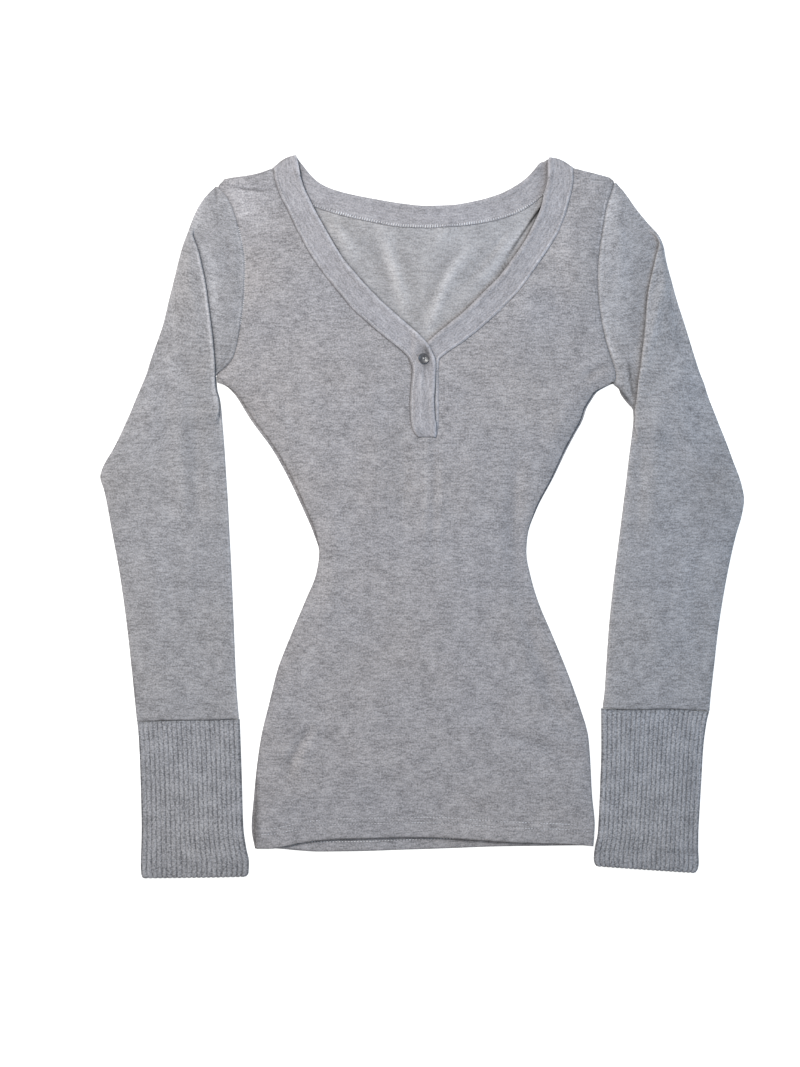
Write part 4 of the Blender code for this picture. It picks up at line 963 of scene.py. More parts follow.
sleeve["right"] = table(
    sleeveColumns,
    (24, seam, 170.8, 0, 169.6, 0, 0),
    (25.4, seam, 171.9, 0, 170.2, 0, 0),
    (27, seam, 173.3, 0, 171, 0, 0),
    (30.5, seam, 176.5, 0, 173.5, 0, 0),
    (36.5, seam, 181, 0, 177.5, 0, 0),
    (46.5, seam, 188, 0, 184, 0, 0),
    (54, seam, 194, 0, 190, 0, 0),
    (61, seam, 200, 0, 195.5, 0, 0),
    (68, seam, 206.3, 0, 200.8, 0, 50),
    (70.3, seam, 207.8, 0, 203.6, 0, 80),
    (72.5, seam, 209, 0, 205.4, 0, 110),
    (77, seam, 211, 0, 207.6, 0.3, 180),
    (81, seam, 212.2, 0, 206.7, 1, 180),
    (87.5, seam, 213.3, 0, 205, 2.5, 180),
    (93.5, seam, 214.5, 0, 203.6, 4, 180),
    (109.5, seam, 219, 0, 199.7, 8, 180),
    (124, seam, 223, 0, 197, 12, 180),
    (148, seam, 230.7, 0, 195, 17, 180),
    (162, seam, 235, 0, 193.6, 20, 180),
    (179.5, seam, 240.4, 0, 191.4, 24, 180),
    (189, seam, 243.5, 0, 190.3, 26, 180),
    (195.5, seam, 246, 0, 189.2, 27, 180),
    (200, seam, 247.8, 0, 188.7, 27.5, 180),
    (201.2, 168.3, 248.2, 0, 188.6, 27.5, 180),
    (204, 172, 249, 0, 188.3, 27.5, 180),
    (209.5, 174.3, 250.7, 0, 188, 27, 180),
    (216.5, 179.5, 253.2, 0, 187.2, 25, 180),
    (223, 184.8, 255.8, 0, 186.3, 20, 180),
    (231, 185.3, 259, 0, 186.6, 11, 180),
    (237.5, 184.8, 261.5, 0, 186.2, 2.5, 180),
    (243, 184.2, 263.8, 0, 186.8, 0.5, 110),
    (249, 183.5, 266.2, 0, 187, 0, 50),
    (255, 182.7, 268.5, 0, 186.6, 0, 0),
    (266.5, 181.2, 272.7, 0, 188, 0, 0),
    (290, 178.5, 281, 0, 192, 0, 0),
    (302, 177, 283, 0, 195, 0, 0),
    (315.5, 175.3, 281, 0, 197, 0, 0),
    (332, 173.2, 276.2, 0, 198, 0, 0),
    (354, 170.4, 271, 0, 198, 0, 0),
    (382, 167, 265.6, 0, 197, 0, 0),
    (416.5, 163.6, 260.2, 0, 194, 0, 0),
    (450, 161.3, 256.4, 0, 190, 0, 0),
    (470, 160, 254, 0.8, 188, 0, 0),
    (485.4, 158.2, 252.5, 1.6, 186, 0, 0),
)
sleeve["leftCreases"] = creases(
    (-218, 178, -206, 186, -190, 189, 8, -1.9),       # below the turned-down edge
    (-215, 196, -212, 255, -209, 330, 8, 2.1),
    (-199, 205, -197, 260, -196, 325, 7, -1.3),
    (-240, 205, -238, 230, -244, 262, 8, 1.5),
    (-207, 92, -200, 130, -196, 178, 4, 0.8),         # ridge beside the turned-down edge
    (-181.5, 30, -181, 36, -180.3, 42, 1.6, -0.6),    # puckers of the cap
    (-174.5, 44, -172, 49, -170, 54, 1.6, -0.6),
    (-176, 60, -171, 90, -170, 120, 5, -0.8),
    (-180, 192, -174, 184, -166, 178, 4, -0.6),
    (-190, 300, -204, 372, -215, 440, 12, 1.3),
    (-238, 330, -232, 380, -232, 430, 10, 0.9),
    (-262, 262, -240, 276, -214, 280, 8, 1.1),
    (-255, 300, -232, 306, -208, 300, 8, -0.9),
)
# painted light and shade of the left sleeve's folds, edges and seams
sleeve["leftMarks"] = creases(
    (-196, 36, -198, 53, -199.5, 70, 6, 0.3),
    (-182, 26, -181.3, 34, -180.6, 43, 1.2, -0.38),
    (-179.5, 214, -178, 226, -176.5, 238, 2, 0.12),
    (-254.5, 458, -253, 471, -251.5, 484, 1.2, -0.3),
    (-281, 262, -276, 290, -268, 330, 14, -0.05),
    (-174.5, 44, -172, 49, -170, 54, 1.4, -0.15),
    (-217, 184, -204, 181, -190, 186, 8, -0.09),
    (-206.5, 212, -205, 268, -204, 322, 4.5, -0.07),
    (-213, 200, -212, 258, -210, 330, 5, 0.06),
    (-243, 198, -238, 214, -236, 232, 7, 0.08),
    (-222, 105, -229, 150, -240, 190, 7, -0.05),
)
# painted shade and highlights on the left sleeve's cap, under its turned-down edge and at the armpit
sleeve["leftCapMarks"] = creases(
    (-179, 33, -176, 61, -175, 96, 5, -0.1),
    (-174, 84, -171, 127, -177, 176, 8, -0.08),
    (-192, 72, -185, 112, -180, 165, 6, 0.25),
    (-181, 190, -174, 184, -165, 177, 3, -0.22),
)
# painted light and shade of the right sleeve's folds and its armpit
sleeve["rightMarks"] = creases(
    (214, 103, 202.5, 152, 191.5, 206, 3.8, 0.16),
    (219, 130, 223, 160, 222, 186, 8, -0.08),
    (192, 205, 199, 222, 206, 242, 8, 0.05),
    (281, 312, 268, 390, 256, 474, 10, -0.06),
    (266, 240, 255, 290, 246, 345, 20, -0.125),
    (205, 40, 196, 50, 186, 60, 4, 0.03),
    (170, 32, 166.5, 50, 163, 68, 5, 0.28),
    (226, 150, 233, 173, 244, 202, 4, 0.09),
    (166, 201, 174, 208, 185.5, 223, 1.9, -0.55),
)
# painted shade and highlights on the right sleeve's cap, under its turned-down edge and at the armpit
sleeve["rightCapMarks"] = creases(
    (166, 36, 161, 75, 158.5, 122, 7, 0.2),
    (158.5, 112, 163, 160, 175, 202, 5, 0.16),
    (161.5, 62, 160, 80, 160, 97, 1.2, -0.16),
    (200, 80, 190, 124, 187.5, 180, 7.5, -0.12),
    (182, 62, 174, 106, 172, 160, 8, 0.1),
    (180.3, 180, 182.3, 198, 186, 213, 1.2, -0.7),
    (184, 176, 185.6, 200, 187, 218, 3, -0.18),
    (178.5, 184, 180.2, 197, 183, 210, 1.4, 0.16),
    (169.5, 200.9, 177.5, 210.7, 186.3, 222, 1.6, -0.75),
    (165.8, 200.9, 168.2, 201.9, 170.8, 203.9, 1.7, -0.8),
    (166.6, 200.2, 168.4, 198.2, 170, 196.3, 1, -0.6),
)
sleeve["rightCreases"] = creases(
    (216, 98, 204, 142, 190, 200, 5, 1.7),    # light ridge beside the turned-down edge
    (179.5, 186, 183, 203, 186, 222, 3, -1.2),
    (228, 120, 222, 160, 216, 205, 9, -1.1),
    (206, 210, 203, 268, 199, 340, 9, 1.7),
    (192, 240, 190, 300, 186, 350, 6, -0.9),
    (226, 215, 234, 250, 250, 285, 9, 1.3),
    (215, 275, 238, 290, 262, 286, 9, -1),
    (198, 370, 206, 412, 206, 455, 12, 1.2),
    (232, 335, 226, 380, 222, 430, 9, 1),
    (170, 45, 173, 80, 172, 120, 6, 1.2),
)


def tuckPath(fold, tuck, turn):
    # the tucked cloth from the cap layer to the top layer; its two turns keep their length
    steps, turn = sleeve["tuckSteps"], max(math.radians(turn), 0.02)
    radius = math.pi * cloth["foldRadius"] / turn
    sine, cosine = math.sin(turn), math.cos(turn)
    start = fold + cloth["wall"] / 2 - radius * sine
    if turn > math.pi / 2:
        start += radius * (1.0 - sine) - tuck * cosine
    angle = np.linspace(0.0, turn, steps + 1)
    first = start + radius * np.sin(angle), radius * (1.0 - np.cos(angle))
    backX = start + radius * sine + tuck * cosine
    backHeight = radius * (1.0 - cosine) + tuck * sine
    angle = angle[::-1]
    second = backX + radius * (sine - np.sin(angle)), backHeight + radius * (np.cos(angle) - cosine)
    between = np.array([0.33, 0.67])
    middle = mix(first[0][-1], second[0][0], between), mix(first[1][-1], second[1][0], between)
    return join(first[0], middle[0], second[0]), join(first[1], middle[1], second[1])


def sleeveSection(width, fold, tuck, turn, closed):
    # reach and height all the way round one section, from the inner edge along the back
    radius, under, level = cloth["foldRadius"], cloth["under"], cloth["over"]
    inner = cloth["tubeInset"] if closed else cloth["seamInset"]
    reach, rise = tuckPath(fold, tuck, turn)
    spread = min(4.7, 0.35 * width)
    flat = np.linspace(fold - spread / 2, fold + spread / 2, len(reach))
    held = float(ease(turn, 0.0, 35.0))
    reach, rise = mix(flat, reach, held), rise * held
    hold = reach.max() + cloth["wall"]
    room = width - cloth["tubeInset"] - hold
    crowding = (1.0 - float(ease(room, 1.0, 12.0))) * held
    edgeRadius = radius + rise[-1] / 2.0 * crowding
    edge = width - 0.6 - edgeRadius
    angle = np.linspace(-math.pi / 2, math.pi / 2, sleeve["arcSteps"] + 1)
    rim = edge + edgeRadius * np.cos(angle), under + edgeRadius * (1.0 + np.sin(angle))
    back = np.linspace(inner, edge, sleeve["backColumns"], endpoint=False)
    share = edgeShares(sleeve["topColumns"] + 2, 0.3)[1:-1]
    top = mix(edge, reach[-1], share)
    climb = ease(edge - top, 0.0, max(edge - hold, 0.1)) if held else 0.0 * top
    topHeight = mix(rim[1][-1], level + rise[-1], climb)
    cap = mix(reach[0], inner, edgeShares(sleeve["capColumns"] + 1, 0.3)[1:])
    angle = np.linspace(math.pi / 2, 3 * math.pi / 2, sleeve["arcSteps"] + 1)[1:-1]
    inside = inner + radius * np.cos(angle), under + radius * (1.0 + np.sin(angle))
    reaches = join(back, rim[0], top, reach[::-1], cap, inside[0])
    heights = join(np.full(len(back), under), rim[1], topHeight, level + rise[::-1],
                   np.full(len(cap), level), inside[1])
    return reaches, heights


def sleevePaintedShading(side, x, drop, fromInner, foldLine, sewn, folded):
    # painted shade along the armhole's seam with a painted highlight beside it, painted shadow under the
    # turned-down edge, painted highlights along that edge and the inner edge, and the painted light and shade
    # of the folds
    seams = (softLine(fromInner, 1.0, -0.24) * (1.0 - faint(side, drop))
             + softLine(fromInner - sleeve["weltAt"], 0.9, 0.22) * (1.0 + faint(side, drop)))
    toFold, along = lineDistance(x, drop, foldLine)
    ends = np.sin(np.pi * np.clip(along, 0.001, 0.999)) ** 0.3
    capStart = x.shape[1] - sleeve["arcSteps"] + 1 - sleeve["capColumns"]
    onCap = (np.arange(x.shape[1]) >= capStart)[None, :] & folded
    offset, width, amount = sleeve["foldHighlight"][side]
    cap = ends * softLine(toFold, 1.5, -0.5) + creaseHeight(x, drop, sleeve[side + "CapMarks"])
    top = ends * softLine(toFold - offset, width, amount) + creaseHeight(x, drop, sleeve[side + "Marks"])
    rim = softLine(fromInner - 1.8, 1.4, sleeve["rimHighlight"][side]) * ~sewn
    return seams * patchySeamShading(x, drop) * sewn + np.where(onCap, cap, top) + rim


def cuffWave(side, share):
    # the seam between a sleeve and its cuff is not quite straight
    return sleeve["wave"][side] * np.sin(2.6 * np.pi * share - 0.5)


def makeSleeve(side):
    sign = -1 if side == "left" else 1
    rows = sleeve[side]
    stops = rows["drop"]
    at = rowStops(stops, sleeve["rows"], fine=(-1,))
    firstClosed = np.flatnonzero(np.isfinite(rows["inner"]))[0]
    closed = at >= stops[firstClosed]
    inner = np.where(closed, 0.0, smoothLine(yokes[side]["armDrop"], yokes[side]["armX"], at))
    inner[closed] = smoothLine(stops[firstClosed:], rows["inner"][firstClosed:], at[closed])
    outer, slant, fold, tuck, turn = (smoothLine(stops, rows[name], at)
                                      for name in ("outer", "slant", "fold", "tuck", "turn"))
    measures = zip(abs(outer - inner), abs(fold - inner), tuck, turn, closed)
    reach, height = np.swapaxes([sleeveSection(*measure) for measure in measures], 0, 1)
    width = np.abs(outer - inner)[:, None]
    x = inner[:, None] + sign * reach
    drop = at[:, None] + slant[:, None] * reach / width
    drop = drop + cuffWave(side, reach / width) * np.exp(-(at[-1] - at[:, None]) / 6.0)
    upper = np.zeros(reach.shape[1])
    upper[sleeve["backColumns"] + sleeve["arcSteps"] + 1:1 - sleeve["arcSteps"]] = 1.0
    innerLine = np.stack([inner, at], axis=1)[::3]
    outerLine = np.stack([outer, at + slant], axis=1)[::3]
    fromInner, fromOuter = (lineDistance(x, drop, line)[0] for line in (innerLine, outerLine))
    sewn, toEnd = ~closed[:, None], at[-1] - at[:, None]
    climb = sleeve["crown"] * clearOf(fromInner, sleeve["innerReach"])
    climb = climb + sleeve["groove"] * clearOf(fromInner, sleeve["grooveReach"])
    climb = climb + softLine(fromInner - sleeve["weltAt"], sleeve["weltWidth"], sleeve["welt"]) * sewn
    climb = climb * clearOf(fromOuter, sleeve["outerReach"])
    climb = climb * (1.0 - sleeve["endShare"] * np.exp(-toEnd / sleeve["endReach"]))
    calm = clearOf(fromInner, 4.0) * clearOf(fromOuter, 4.0)
    soft = unevenness(x, drop, *sleeve["waves"]) + creaseHeight(x, drop, sleeve[side + "Creases"])
    base = creaseHeight(x, drop, sleeve["underCreases"][side]) + 0.15
    base = calm * np.maximum(0.0, base + unevenness(x, drop, *sleeve["underWaves"]))
    height = height + base + (climb + calm * soft) * upper[None, :]
    points = closedRing(np.stack([x, drop, height], axis=-1))
    around = np.hypot(np.diff(points[..., 0], axis=1), np.diff(points[..., 2], axis=1))
    around = np.concatenate([np.zeros((len(at), 1)), np.cumsum(around, axis=1)], axis=1)
    around = around - around[:, [sleeve["backColumns"] + 3]]
    aslant = sleeve["grain"] * ease(at, *sleeve["grainEnds"])[:, None]
    aslant = aslant * np.abs(points[..., 0] - inner[:, None])
    knit = np.stack([around, points[..., 1] + aslant], axis=-1)
    foldLine = np.stack([fold, at], axis=1)[turn > 90]
    toneAndPaintedShade = sleevePaintedShading(side, x, drop, fromInner, foldLine, sewn, turn[:, None] > 20)
    # painted shade along the sleeve's end, in the seam to the cuff
    toneAndPaintedShade = closedRing(toneAndPaintedShade + softLine(toEnd, 1.3, -0.3))
    kept = np.ones((len(at) - 1, x.shape[1]), bool)
    kept[:, -sleeve["arcSteps"]:] = (closed[:-1] & closed[1:])[:, None]
    grid = turned((points, knit, toneAndPaintedShade, kept), side == "left")
    made = makeCloth("sleeve" + side.title(), cloth["wall"], grid)
    finishPiece(made, sleeveKnit, "sleeve_knit", "sleeve_" + side)
    return made


sleeves = {side: makeSleeve(side) for side in cuts}


print("cuffs")
cuffColumns = "drop inner outer slant"
cuff = {
    "ribPitch": 4.4, "ribSteps": 8, "ribRise": 0.4, "scallop": 0.45, "rows": 4.0,
    "crown": 1.3, "innerReach": 9.0, "outerReach": 14.0, "turned": 15.0, "wall": 0.9,
    "waves": [(0.3, 30.0, 4.4), (0.15, 12.0, 6.6)],
}
# painted light and shade along the cuffs' edges and folds
cuff["leftMarks"] = creases(
    (-250, 505, -248, 560, -247, 628, 3, -0.16),
    (-200, 510, -198, 560, -199, 610, 14, 0.03),
)
cuff["rightMarks"] = creases(
    (236, 500, 234, 555, 233.5, 612, 4, -0.12),
    (246.5, 512, 243.5, 560, 241.5, 606, 1.6, 0.14),
    (160, 500, 159, 550, 157, 600, 3, 0.06),
)
cuff["left"] = table(
    cuffColumns,
    (495, -160.5, -251, 2.2),
    (513, -159.8, -249.5, 1.5),
    (552, -158.5, -248, 1),
    (590, -157.3, -247.2, 1),
    (610, -154.5, -247.6, 1),
    (620, -152.4, -248, 1.2),
    (630.4, -152.8, -247.4, 1.3),
    (632.8, -154.6, -246.3, 1.4),
)
cuff["right"] = table(
    cuffColumns,
    (485.8, 156.8, 252.3, 1.6),
    (497, 156.9, 249.9, 1),
    (522, 157, 246.9, 0.5),
    (547, 156.2, 245.5, 0.5),
    (572, 155.2, 244, 0.5),
    (596, 153.8, 242.8, 0.5),
    (609, 151.2, 242.7, 1.5),
    (617, 150.3, 243.2, 3.5),
    (621.4, 151, 242.2, 5.5),
    (623.6, 152.3, 240.2, 6),
)


def makeCuff(side):
    sign = -1 if side == "left" else 1
    rows = cuff[side]
    at = rowStops(rows["drop"], cuff["rows"], fine=(-1, -2))
    inner, outer, slant = (smoothLine(rows["drop"], rows[name], at)[:, None]
                           for name in ("inner", "outer", "slant"))
    width = np.abs(outer - inner)
    count = round(float(width[0, 0]) / cuff["ribPitch"])
    half = count * cuff["ribSteps"]
    radius, inset = cloth["foldRadius"], cloth["tubeInset"]
    angle = np.linspace(-math.pi / 2, math.pi / 2, 7)
    flat = np.arange(1, half) / half
    still, edge = flat * 0.0, angle * 0.0
    share = join(flat, edge + 1.0, flat[::-1], edge)[None, :]
    bulge = join(still, np.cos(angle), still, -np.cos(angle))[None, :]
    level = join(still - 1.0, np.sin(angle), still + 1.0, np.sin(angle)[::-1])[None, :]
    reach = mix(inset, width - inset, share) + radius * bulge
    rib = 1.0 - np.cos(np.pi * (share * count)) ** 4
    isFlat = np.abs(bulge) < 0.5
    x = inner + sign * reach
    drop = at[:, None] + slant * reach / width
    drop = drop + cuffWave(side, reach / width) * np.exp(-(at[:, None] - at[0]) / 6.0)
    toEnd = at[-1] - at[:, None]
    drop = drop + cuff["scallop"] * rib * isFlat * np.exp(-toEnd / 1.5)
    fromInner, fromOuter = reach.clip(0.0), (width - reach).clip(0.0)
    climb = cuff["crown"] * clearOf(fromInner, cuff["innerReach"]) * clearOf(fromOuter, cuff["outerReach"])
    turnedUp = 1.0 - ease(toEnd, cuff["turned"] - 2.0, cuff["turned"] + 2.0)
    soft = softLine(toEnd - cuff["turned"], 1.6, -0.3) + 0.25 * turnedUp + unevenness(x, drop, *cuff["waves"])
    lift = climb + 0.3 + soft * clearOf(fromInner, 5.0) * clearOf(fromOuter, 5.0)
    height = cloth["under"] + radius + radius * level + np.where(isFlat, 0.0, 0.15 * (1 + level))
    ribs = cuff["ribRise"] * np.where(level > 0.5, rib, 0.8 * (1 - rib)) * isFlat
    points = closedRing(np.stack([x, drop, height + ribs + lift * (level > 0.5)], axis=-1))
    around = np.broadcast_to(closedRing(share) * count * cuff["ribPitch"], points.shape[:2])
    # painted shade at the seam to the sleeve, at the fold of the turned-up hem and at the end, a little
    # darker over the turned-up band, and the painted light and shade of the cuff's folds
    toneAndPaintedShade = (softLine(at[:, None] - at[0], 1.3, -0.26) + softLine(toEnd - cuff["turned"], 1.3, -0.14)
            + softLine(toEnd, 1.3, -0.15) - 0.07 * turnedUp)
    rowDrop = np.broadcast_to(at[:, None], around.shape)
    toneAndPaintedShade = toneAndPaintedShade + creaseHeight(points[..., 0], rowDrop, cuff[side + "Marks"])
    grid = turned((points, np.stack([around, points[..., 1]], axis=-1), toneAndPaintedShade), side == "left")
    made = makeCloth("cuff" + side.title(), cuff["wall"], grid)
    finishPiece(made, cuffKnit, "cuff_rib", "cuff_" + side)
    return made


cuffs = {side: makeCuff(side) for side in cuts}


print("sewing")
thread = {
    "hem": {"pitch": 2.7, "length": 1.8, "width": 0.65, "height": 0.45, "turn": 0, "uneven": 0.9},
    "backHem": {"pitch": 2.7, "length": 1.8, "width": 0.75, "height": 0.5, "turn": 0, "uneven": 0.4},
    "tick": {"pitch": 2.15, "length": 2.3, "width": 0.8, "height": 0.5, "turn": 84, "uneven": 0.7},
    "band": {"pitch": 2.4, "length": 1.7, "width": 0.5, "height": 0.4, "turn": 0, "uneven": 0.5},
    "cuff": {"pitch": 2.3, "length": 1.7, "width": 0.5, "height": 0.4, "turn": 8, "uneven": 0.3},
    "armhole": {"pitch": 1.9, "length": 1.7, "width": 0.95, "height": 0.5, "turn": 70, "uneven": 0.8},
    "sink": 0.1,        # how far a stitch is drawn into the knit
}


def surfaceOf(*pieces):
    # the pieces' faces, to find the height of the cloth under a place
    vertices, faces = [], []
    for piece in pieces:
        start = len(vertices)
        vertices += [vertex.co.copy() for vertex in piece.data.vertices]
        faces += [[start + number for number in face.vertices] for face in piece.data.polygons]
    return BVHTree.FromPolygons(vertices, faces)


def heightAt(surface, x, drop):
    hit = surface.ray_cast(Vector((x * mm, topY - drop * mm, 0.05)), Vector((0.0, 0.0, -1.0)))[0]
    return hit.z / mm if hit else None


def grainOfThread():
    # one stitch as a slim rounded grain, 1 mm long before it is sized
    selectOnly()
    bpy.ops.mesh.primitive_uv_sphere_add(segments=6, ring_count=5, radius=0.5, location=(0.0, 0.0, 0.0))
    grain = bpy.context.active_object
    bpy.ops.object.mode_set(mode="EDIT")
    bpy.ops.mesh.select_all(action="SELECT")
    bpy.ops.transform.rotate(value=math.pi / 2, orient_axis="Y", center_override=(0.0, 0.0, 0.0))
    bpy.ops.object.mode_set(mode="OBJECT")
    vertices = np.array([vertex.co[:] for vertex in grain.data.vertices])
    faces = [list(face.vertices) for face in grain.data.polygons]
    bpy.data.objects.remove(grain, do_unlink=True)
    return vertices, faces


grainVertices, grainFaces = grainOfThread()


def besideLine(line, distance):
    # the same line, moved a distance to its left as one walks along it
    way = np.gradient(line, axis=0)
    way /= np.hypot(way[:, 0], way[:, 1])[:, None]
    return line + distance * np.stack([way[:, 1], -way[:, 0]], axis=1)


def sewRow(name, path, kind, surface, material, slotName):
    # stitches a pitch apart along a path, laid on the cloth under them
    look, stops = thread[kind], chordStops((path[:, 0], path[:, 1]))
    at = np.arange(look["pitch"] / 2, stops[-1], look["pitch"])
    x, drop = smoothLine(stops, path[:, 0], at), smoothLine(stops, path[:, 1], at)
    ahead = smoothLine(stops, path[:, 0], at + 0.3), smoothLine(stops, path[:, 1], at + 0.3)
    vertices, faces = [], []
    for number in range(len(at)):
        height = heightAt(surface, x[number], drop[number])
        if height is None:
            continue
        angle = math.atan2(drop[number] - ahead[1][number], ahead[0][number] - x[number])
        angle += math.radians(look["turn"])
        size = 0.95 + 1.3 * look["uneven"] * noise.noise((x[number] / 16.0, drop[number] / 16.0, 5.1))
        grain = grainVertices * (look["length"], look["width"], look["height"]) * min(max(size, 0.4), 1.3)
        across, up = grain[:, 0], grain[:, 1]
        spot = np.stack([x[number] + across * math.cos(angle) - up * math.sin(angle),
                         drop[number] - across * math.sin(angle) - up * math.cos(angle),
                         height + grain[:, 2] + look["height"] / 2 - thread["sink"]], axis=1)
        faces += [[corner + len(vertices) for corner in face] for face in grainFaces]
        vertices += (spot * (mm, -mm, mm) + (0.0, topY, 0.0)).tolist()
    mesh = bpy.data.meshes.new(name)
    mesh.from_pydata(vertices, [], faces)
    layer = mesh.uv_layers.new(name="knit")
    for loop in mesh.loops:
        layer.data[loop.index].uv = vertices[loop.vertex_index][:2]
    row = addObject(name, mesh)
    selectOnly(row)
    bpy.ops.object.shade_smooth()
    finishPiece(row, material, slotName)
    return row


def acrossHem(layer, above, start, end):
    x = np.linspace(start, end, 60)
    return np.stack([x, hemEdge(x, layer) - above], axis=1)


surfaces = {side: surfaceOf(piece) for side, piece in neckbands.items()}
frontCloth = surfaceOf(frontPanel)
hemStitches = [sewRow("hemStitches" + str(number), acrossHem("front", above, -142.0, 146.0), "hem",
                      frontCloth, threadKnit, "body_knit")
               for number, above in enumerate(panel["hemRows"]["front"])]
backHemStitches = sewRow("backHemStitches", acrossHem("back", panel["hemRows"]["back"][0], -104.0, 118.0),
                         "backHem", surfaceOf(backPanel), plainThread, "body_knit")
armLine = cuts["left"]["arm"]
armLine = armLine[(armLine[:, 1] > 55.0) & (armLine[:, 1] < 150.0)]
armholeStitches = sewRow("armholeStitches", armLine, "armhole",
                         surfaceOf(frontPanel, sleeves["left"]), threadKnit, "body_knit")
neckTicks = sewRow("neckTicks", besideLine(np.stack(backNeck(2, 10), axis=1), 1.7), "tick",
                   surfaces["back"], plainThread, "band_knit")
for side, inward in (("left", band["weltAt"]), ("right", -band["weltAt"])):
    sewRow("neckStitches" + side.title(), besideLine(cuts[side]["seam"][:-1], inward),
                                "band", surfaces[side], threadKnit, "band_knit")


def cuffStitches(side):
    rows, share = cuff[side], np.linspace(0.03, 0.97, 30)
    drop = rows["drop"][-1] - cuff["turned"]
    ends = [smoothLine(rows["drop"], rows[name], drop) for name in ("inner", "outer")]
    path = np.stack([mix(*ends, share), drop + rows["slant"][-2] * share], axis=1)
    return sewRow("cuffStitches" + side.title(), path, "cuff", surfaceOf(cuffs[side]), cuffThread, "cuff_rib")


cuffRows = {side: cuffStitches(side) for side in cuts}


print("button")
button = {
    "x": 0.8, "drop": 178.5, "radius": 4.5, "height": 1.9,
    "rim": 0.8, "well": 0.45, "hole": 0.55, "spacing": 1.15, "sides": 40, "rounding": 0.18,
    "colours": ((0.006, 0.006, 0.008), (0.14, 0.14, 0.152)),
}


def selectFaces(piece, wanted):
    # in edit mode, the faces that the test picks
    shape = bmesh.from_edit_mesh(piece.data)
    for face in shape.faces:
        face.select_set(wanted(face))
    shape.select_flush(False)
    bmesh.update_edit_mesh(piece.data)


def makeButton():
    names = ("radius", "height", "rim", "well", "hole", "spacing", "rounding")
    size = {name: button[name] * mm for name in names}
    selectOnly()
    bpy.ops.mesh.primitive_cylinder_add(vertices=button["sides"], radius=size["radius"], depth=size["height"])
    disc = bpy.context.active_object
    disc.name = "smokeButton"
    bpy.ops.object.mode_set(mode="EDIT")
    bpy.ops.mesh.select_mode(type="FACE")
    selectFaces(disc, lambda face: face.normal.z > 0.9)
    bpy.ops.mesh.inset(thickness=size["rim"])
    bpy.ops.transform.translate(value=(0.0, 0.0, -size["well"]))
    bpy.ops.mesh.inset(thickness=size["rim"] / 2)
    bpy.ops.transform.translate(value=(0.0, 0.0, -size["well"] / 3))
    selectFaces(disc, lambda face: face.normal.z < -0.9)
    bpy.ops.mesh.inset(thickness=size["rim"])
    bpy.ops.object.mode_set(mode="OBJECT")
    drills = []
    for step in range(4):
        angle = math.pi / 2 * step + math.pi / 4
        place = (size["spacing"] * math.cos(angle), size["spacing"] * math.sin(angle), 0.0)
        bpy.ops.mesh.primitive_cylinder_add(vertices=14, radius=size["hole"], depth=4 * size["height"],
                                            location=place)
        drills.append(bpy.context.active_object)
    for drill in drills:
        selectOnly(disc)
        hole = disc.modifiers.new("hole", "BOOLEAN")
        hole.operation, hole.solver, hole.object = "DIFFERENCE", "EXACT", drill
        bpy.ops.object.modifier_apply(modifier="hole")
        bpy.data.objects.remove(drill, do_unlink=True)
    rounding = disc.modifiers.new("rounding", "BEVEL")
    rounding.width, rounding.segments, rounding.limit_method = size["rounding"], 2, "ANGLE"
    rounding.angle_limit = math.radians(30)
    bpy.ops.object.modifier_apply(modifier="rounding")
    bpy.ops.object.shade_smooth_by_angle(angle=math.radians(40))
    return disc


def settleButton(disc):
    # the button rests on the cloth under its rim, at the median of the heights found there, sunk 0.1 mm into
    # it
    around = np.linspace(0.0, 2 * math.pi, 16, endpoint=False)
    heights = [heightAt(surfaces["left"], button["x"] + 3.6 * math.cos(a), button["drop"] + 3.6 * math.sin(a))
               for a in around]
    base = float(np.median([height for height in heights if height]))
    spot = Vector((button["x"] * mm, topY - button["drop"] * mm, (base + button["height"] / 2 - 0.1) * mm))
    for vertex in disc.data.vertices:
        vertex.co += spot
    return spot


smokeButton = makeButton()
buttonSpot = settleButton(smokeButton)
smoke = Shader("smokeGloss")
smokePlace = smoke.node("ShaderNodeTexCoord", {}, {}, output=3)
swirl = smoke.node("ShaderNodeTexNoise", {}, {"Vector": smokePlace, "Scale": 420.0, "Detail": 3.0})
smoke.fill(smoke.surface, {"Base Color": smoke.blend(swirl, *button["colours"]),
                           "Roughness": swirl * 0.25 + 0.2, "Coat Weight": 0.25})
finishPiece(smokeButton, smoke.material, "button_smoke", "button")


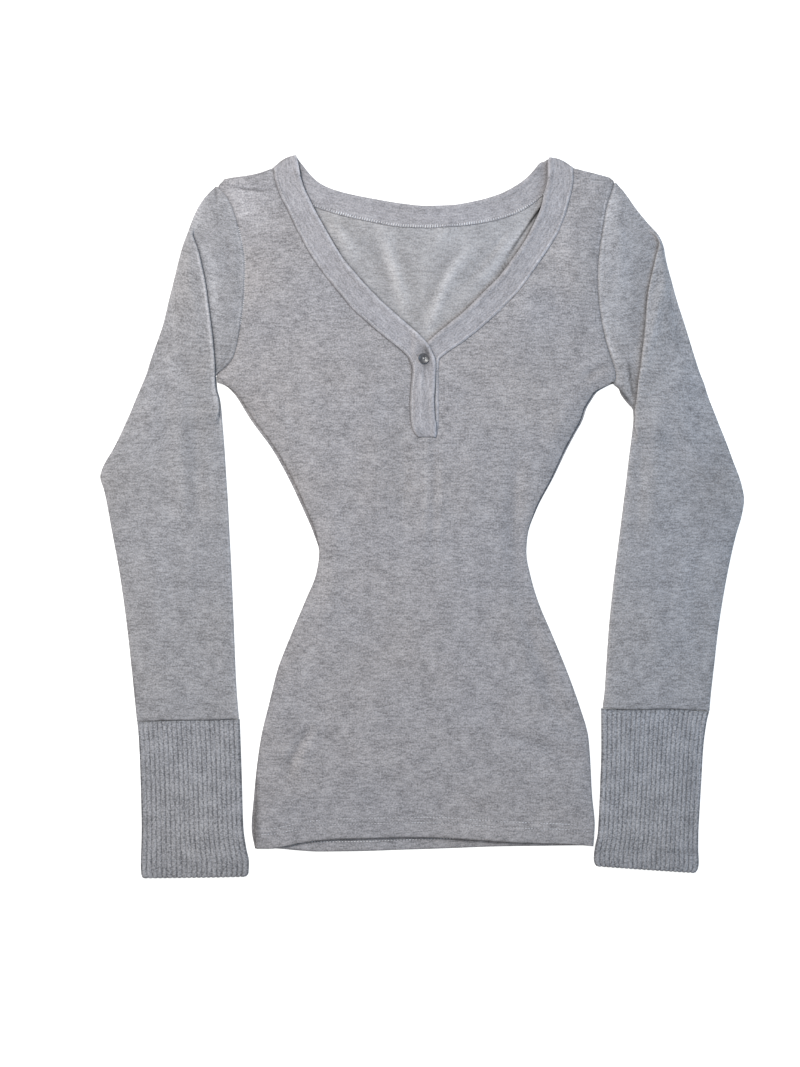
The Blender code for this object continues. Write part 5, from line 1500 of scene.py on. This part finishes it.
def makeButtonThread():
    # two short strands that cross between the holes
    strands = []
    for turn in (45, -45):
        grain = grainVertices * (2.6, 0.4, 0.4)
        angle = math.radians(turn)
        x = grain[:, 0] * math.cos(angle) - grain[:, 1] * math.sin(angle)
        y = grain[:, 0] * math.sin(angle) + grain[:, 1] * math.cos(angle)
        height = grain[:, 2] + button["height"] / 2 - button["well"]
        strands.append(np.stack([x, y, height], axis=1) * mm + buttonSpot)
    faces = grainFaces + [[corner + len(grainVertices) for corner in face] for face in grainFaces]
    mesh = bpy.data.meshes.new("buttonThread")
    mesh.from_pydata(np.concatenate(strands).tolist(), [], faces)
    finishPiece(addObject("buttonThread", mesh), plainThread, "band_knit")


makeButtonThread()


print("stage")
view = {"height": 0.9365, "x": -0.01975, "y": -0.0148, "lens": 50.0, "sensor": 36.0, "level": 0.004}


def makeFloor():
    selectOnly()
    bpy.ops.mesh.primitive_plane_add(size=6.0, location=(0.0, 0.0, 0.0))
    floor = bpy.context.active_object
    floor.name = "floor"
    shader = Shader("paleFloor")
    shader.fill(shader.surface, {"Base Color": (0.5, 0.5, 0.5, 1.0), "Roughness": 0.9,
                                 "Emission Color": (1.0, 1.0, 1.0, 1.0), "Emission Strength": 0.85})
    floor.data.materials.append(shader.material)


def makeCamera():
    camera = addObject("camera", bpy.data.cameras.new("camera"))
    camera.data.lens, camera.data.sensor_width = view["lens"], view["sensor"]
    distance = view["height"] * view["lens"] / view["sensor"]
    camera.location = (view["x"], view["y"], view["level"] + distance)
    bpy.context.scene.camera = camera


def makeLight(name, place, aim, size, power, colour):
    light = bpy.data.lights.new(name, "AREA")
    light.size, light.energy, light.color = size, power, colour
    lamp = addObject(name, light)
    lamp.location = place
    lamp.rotation_euler = (Vector(aim) - Vector(place)).to_track_quat("-Z", "Y").to_euler()


makeFloor()
makeCamera()
makeLight("window", (-0.66, 0.78, 1.45), (0.0, 0.0, 0.0), 0.55, 30.0, (1.0, 0.985, 0.955))
makeLight("sky", (0.8, 0.12, 0.6), (0.12, 0.0, 0.0), 0.6, 2.3, (0.13, 0.54, 1.0))
world = bpy.data.worlds.new("studio")
world.use_nodes = True
sky = world.node_tree.nodes["Background"].inputs
sky["Color"].default_value, sky["Strength"].default_value = (0.96, 0.975, 1.0, 1.0), 0.485
bpy.context.scene.world = world
bpy.context.scene.view_settings.view_transform = "Standard"
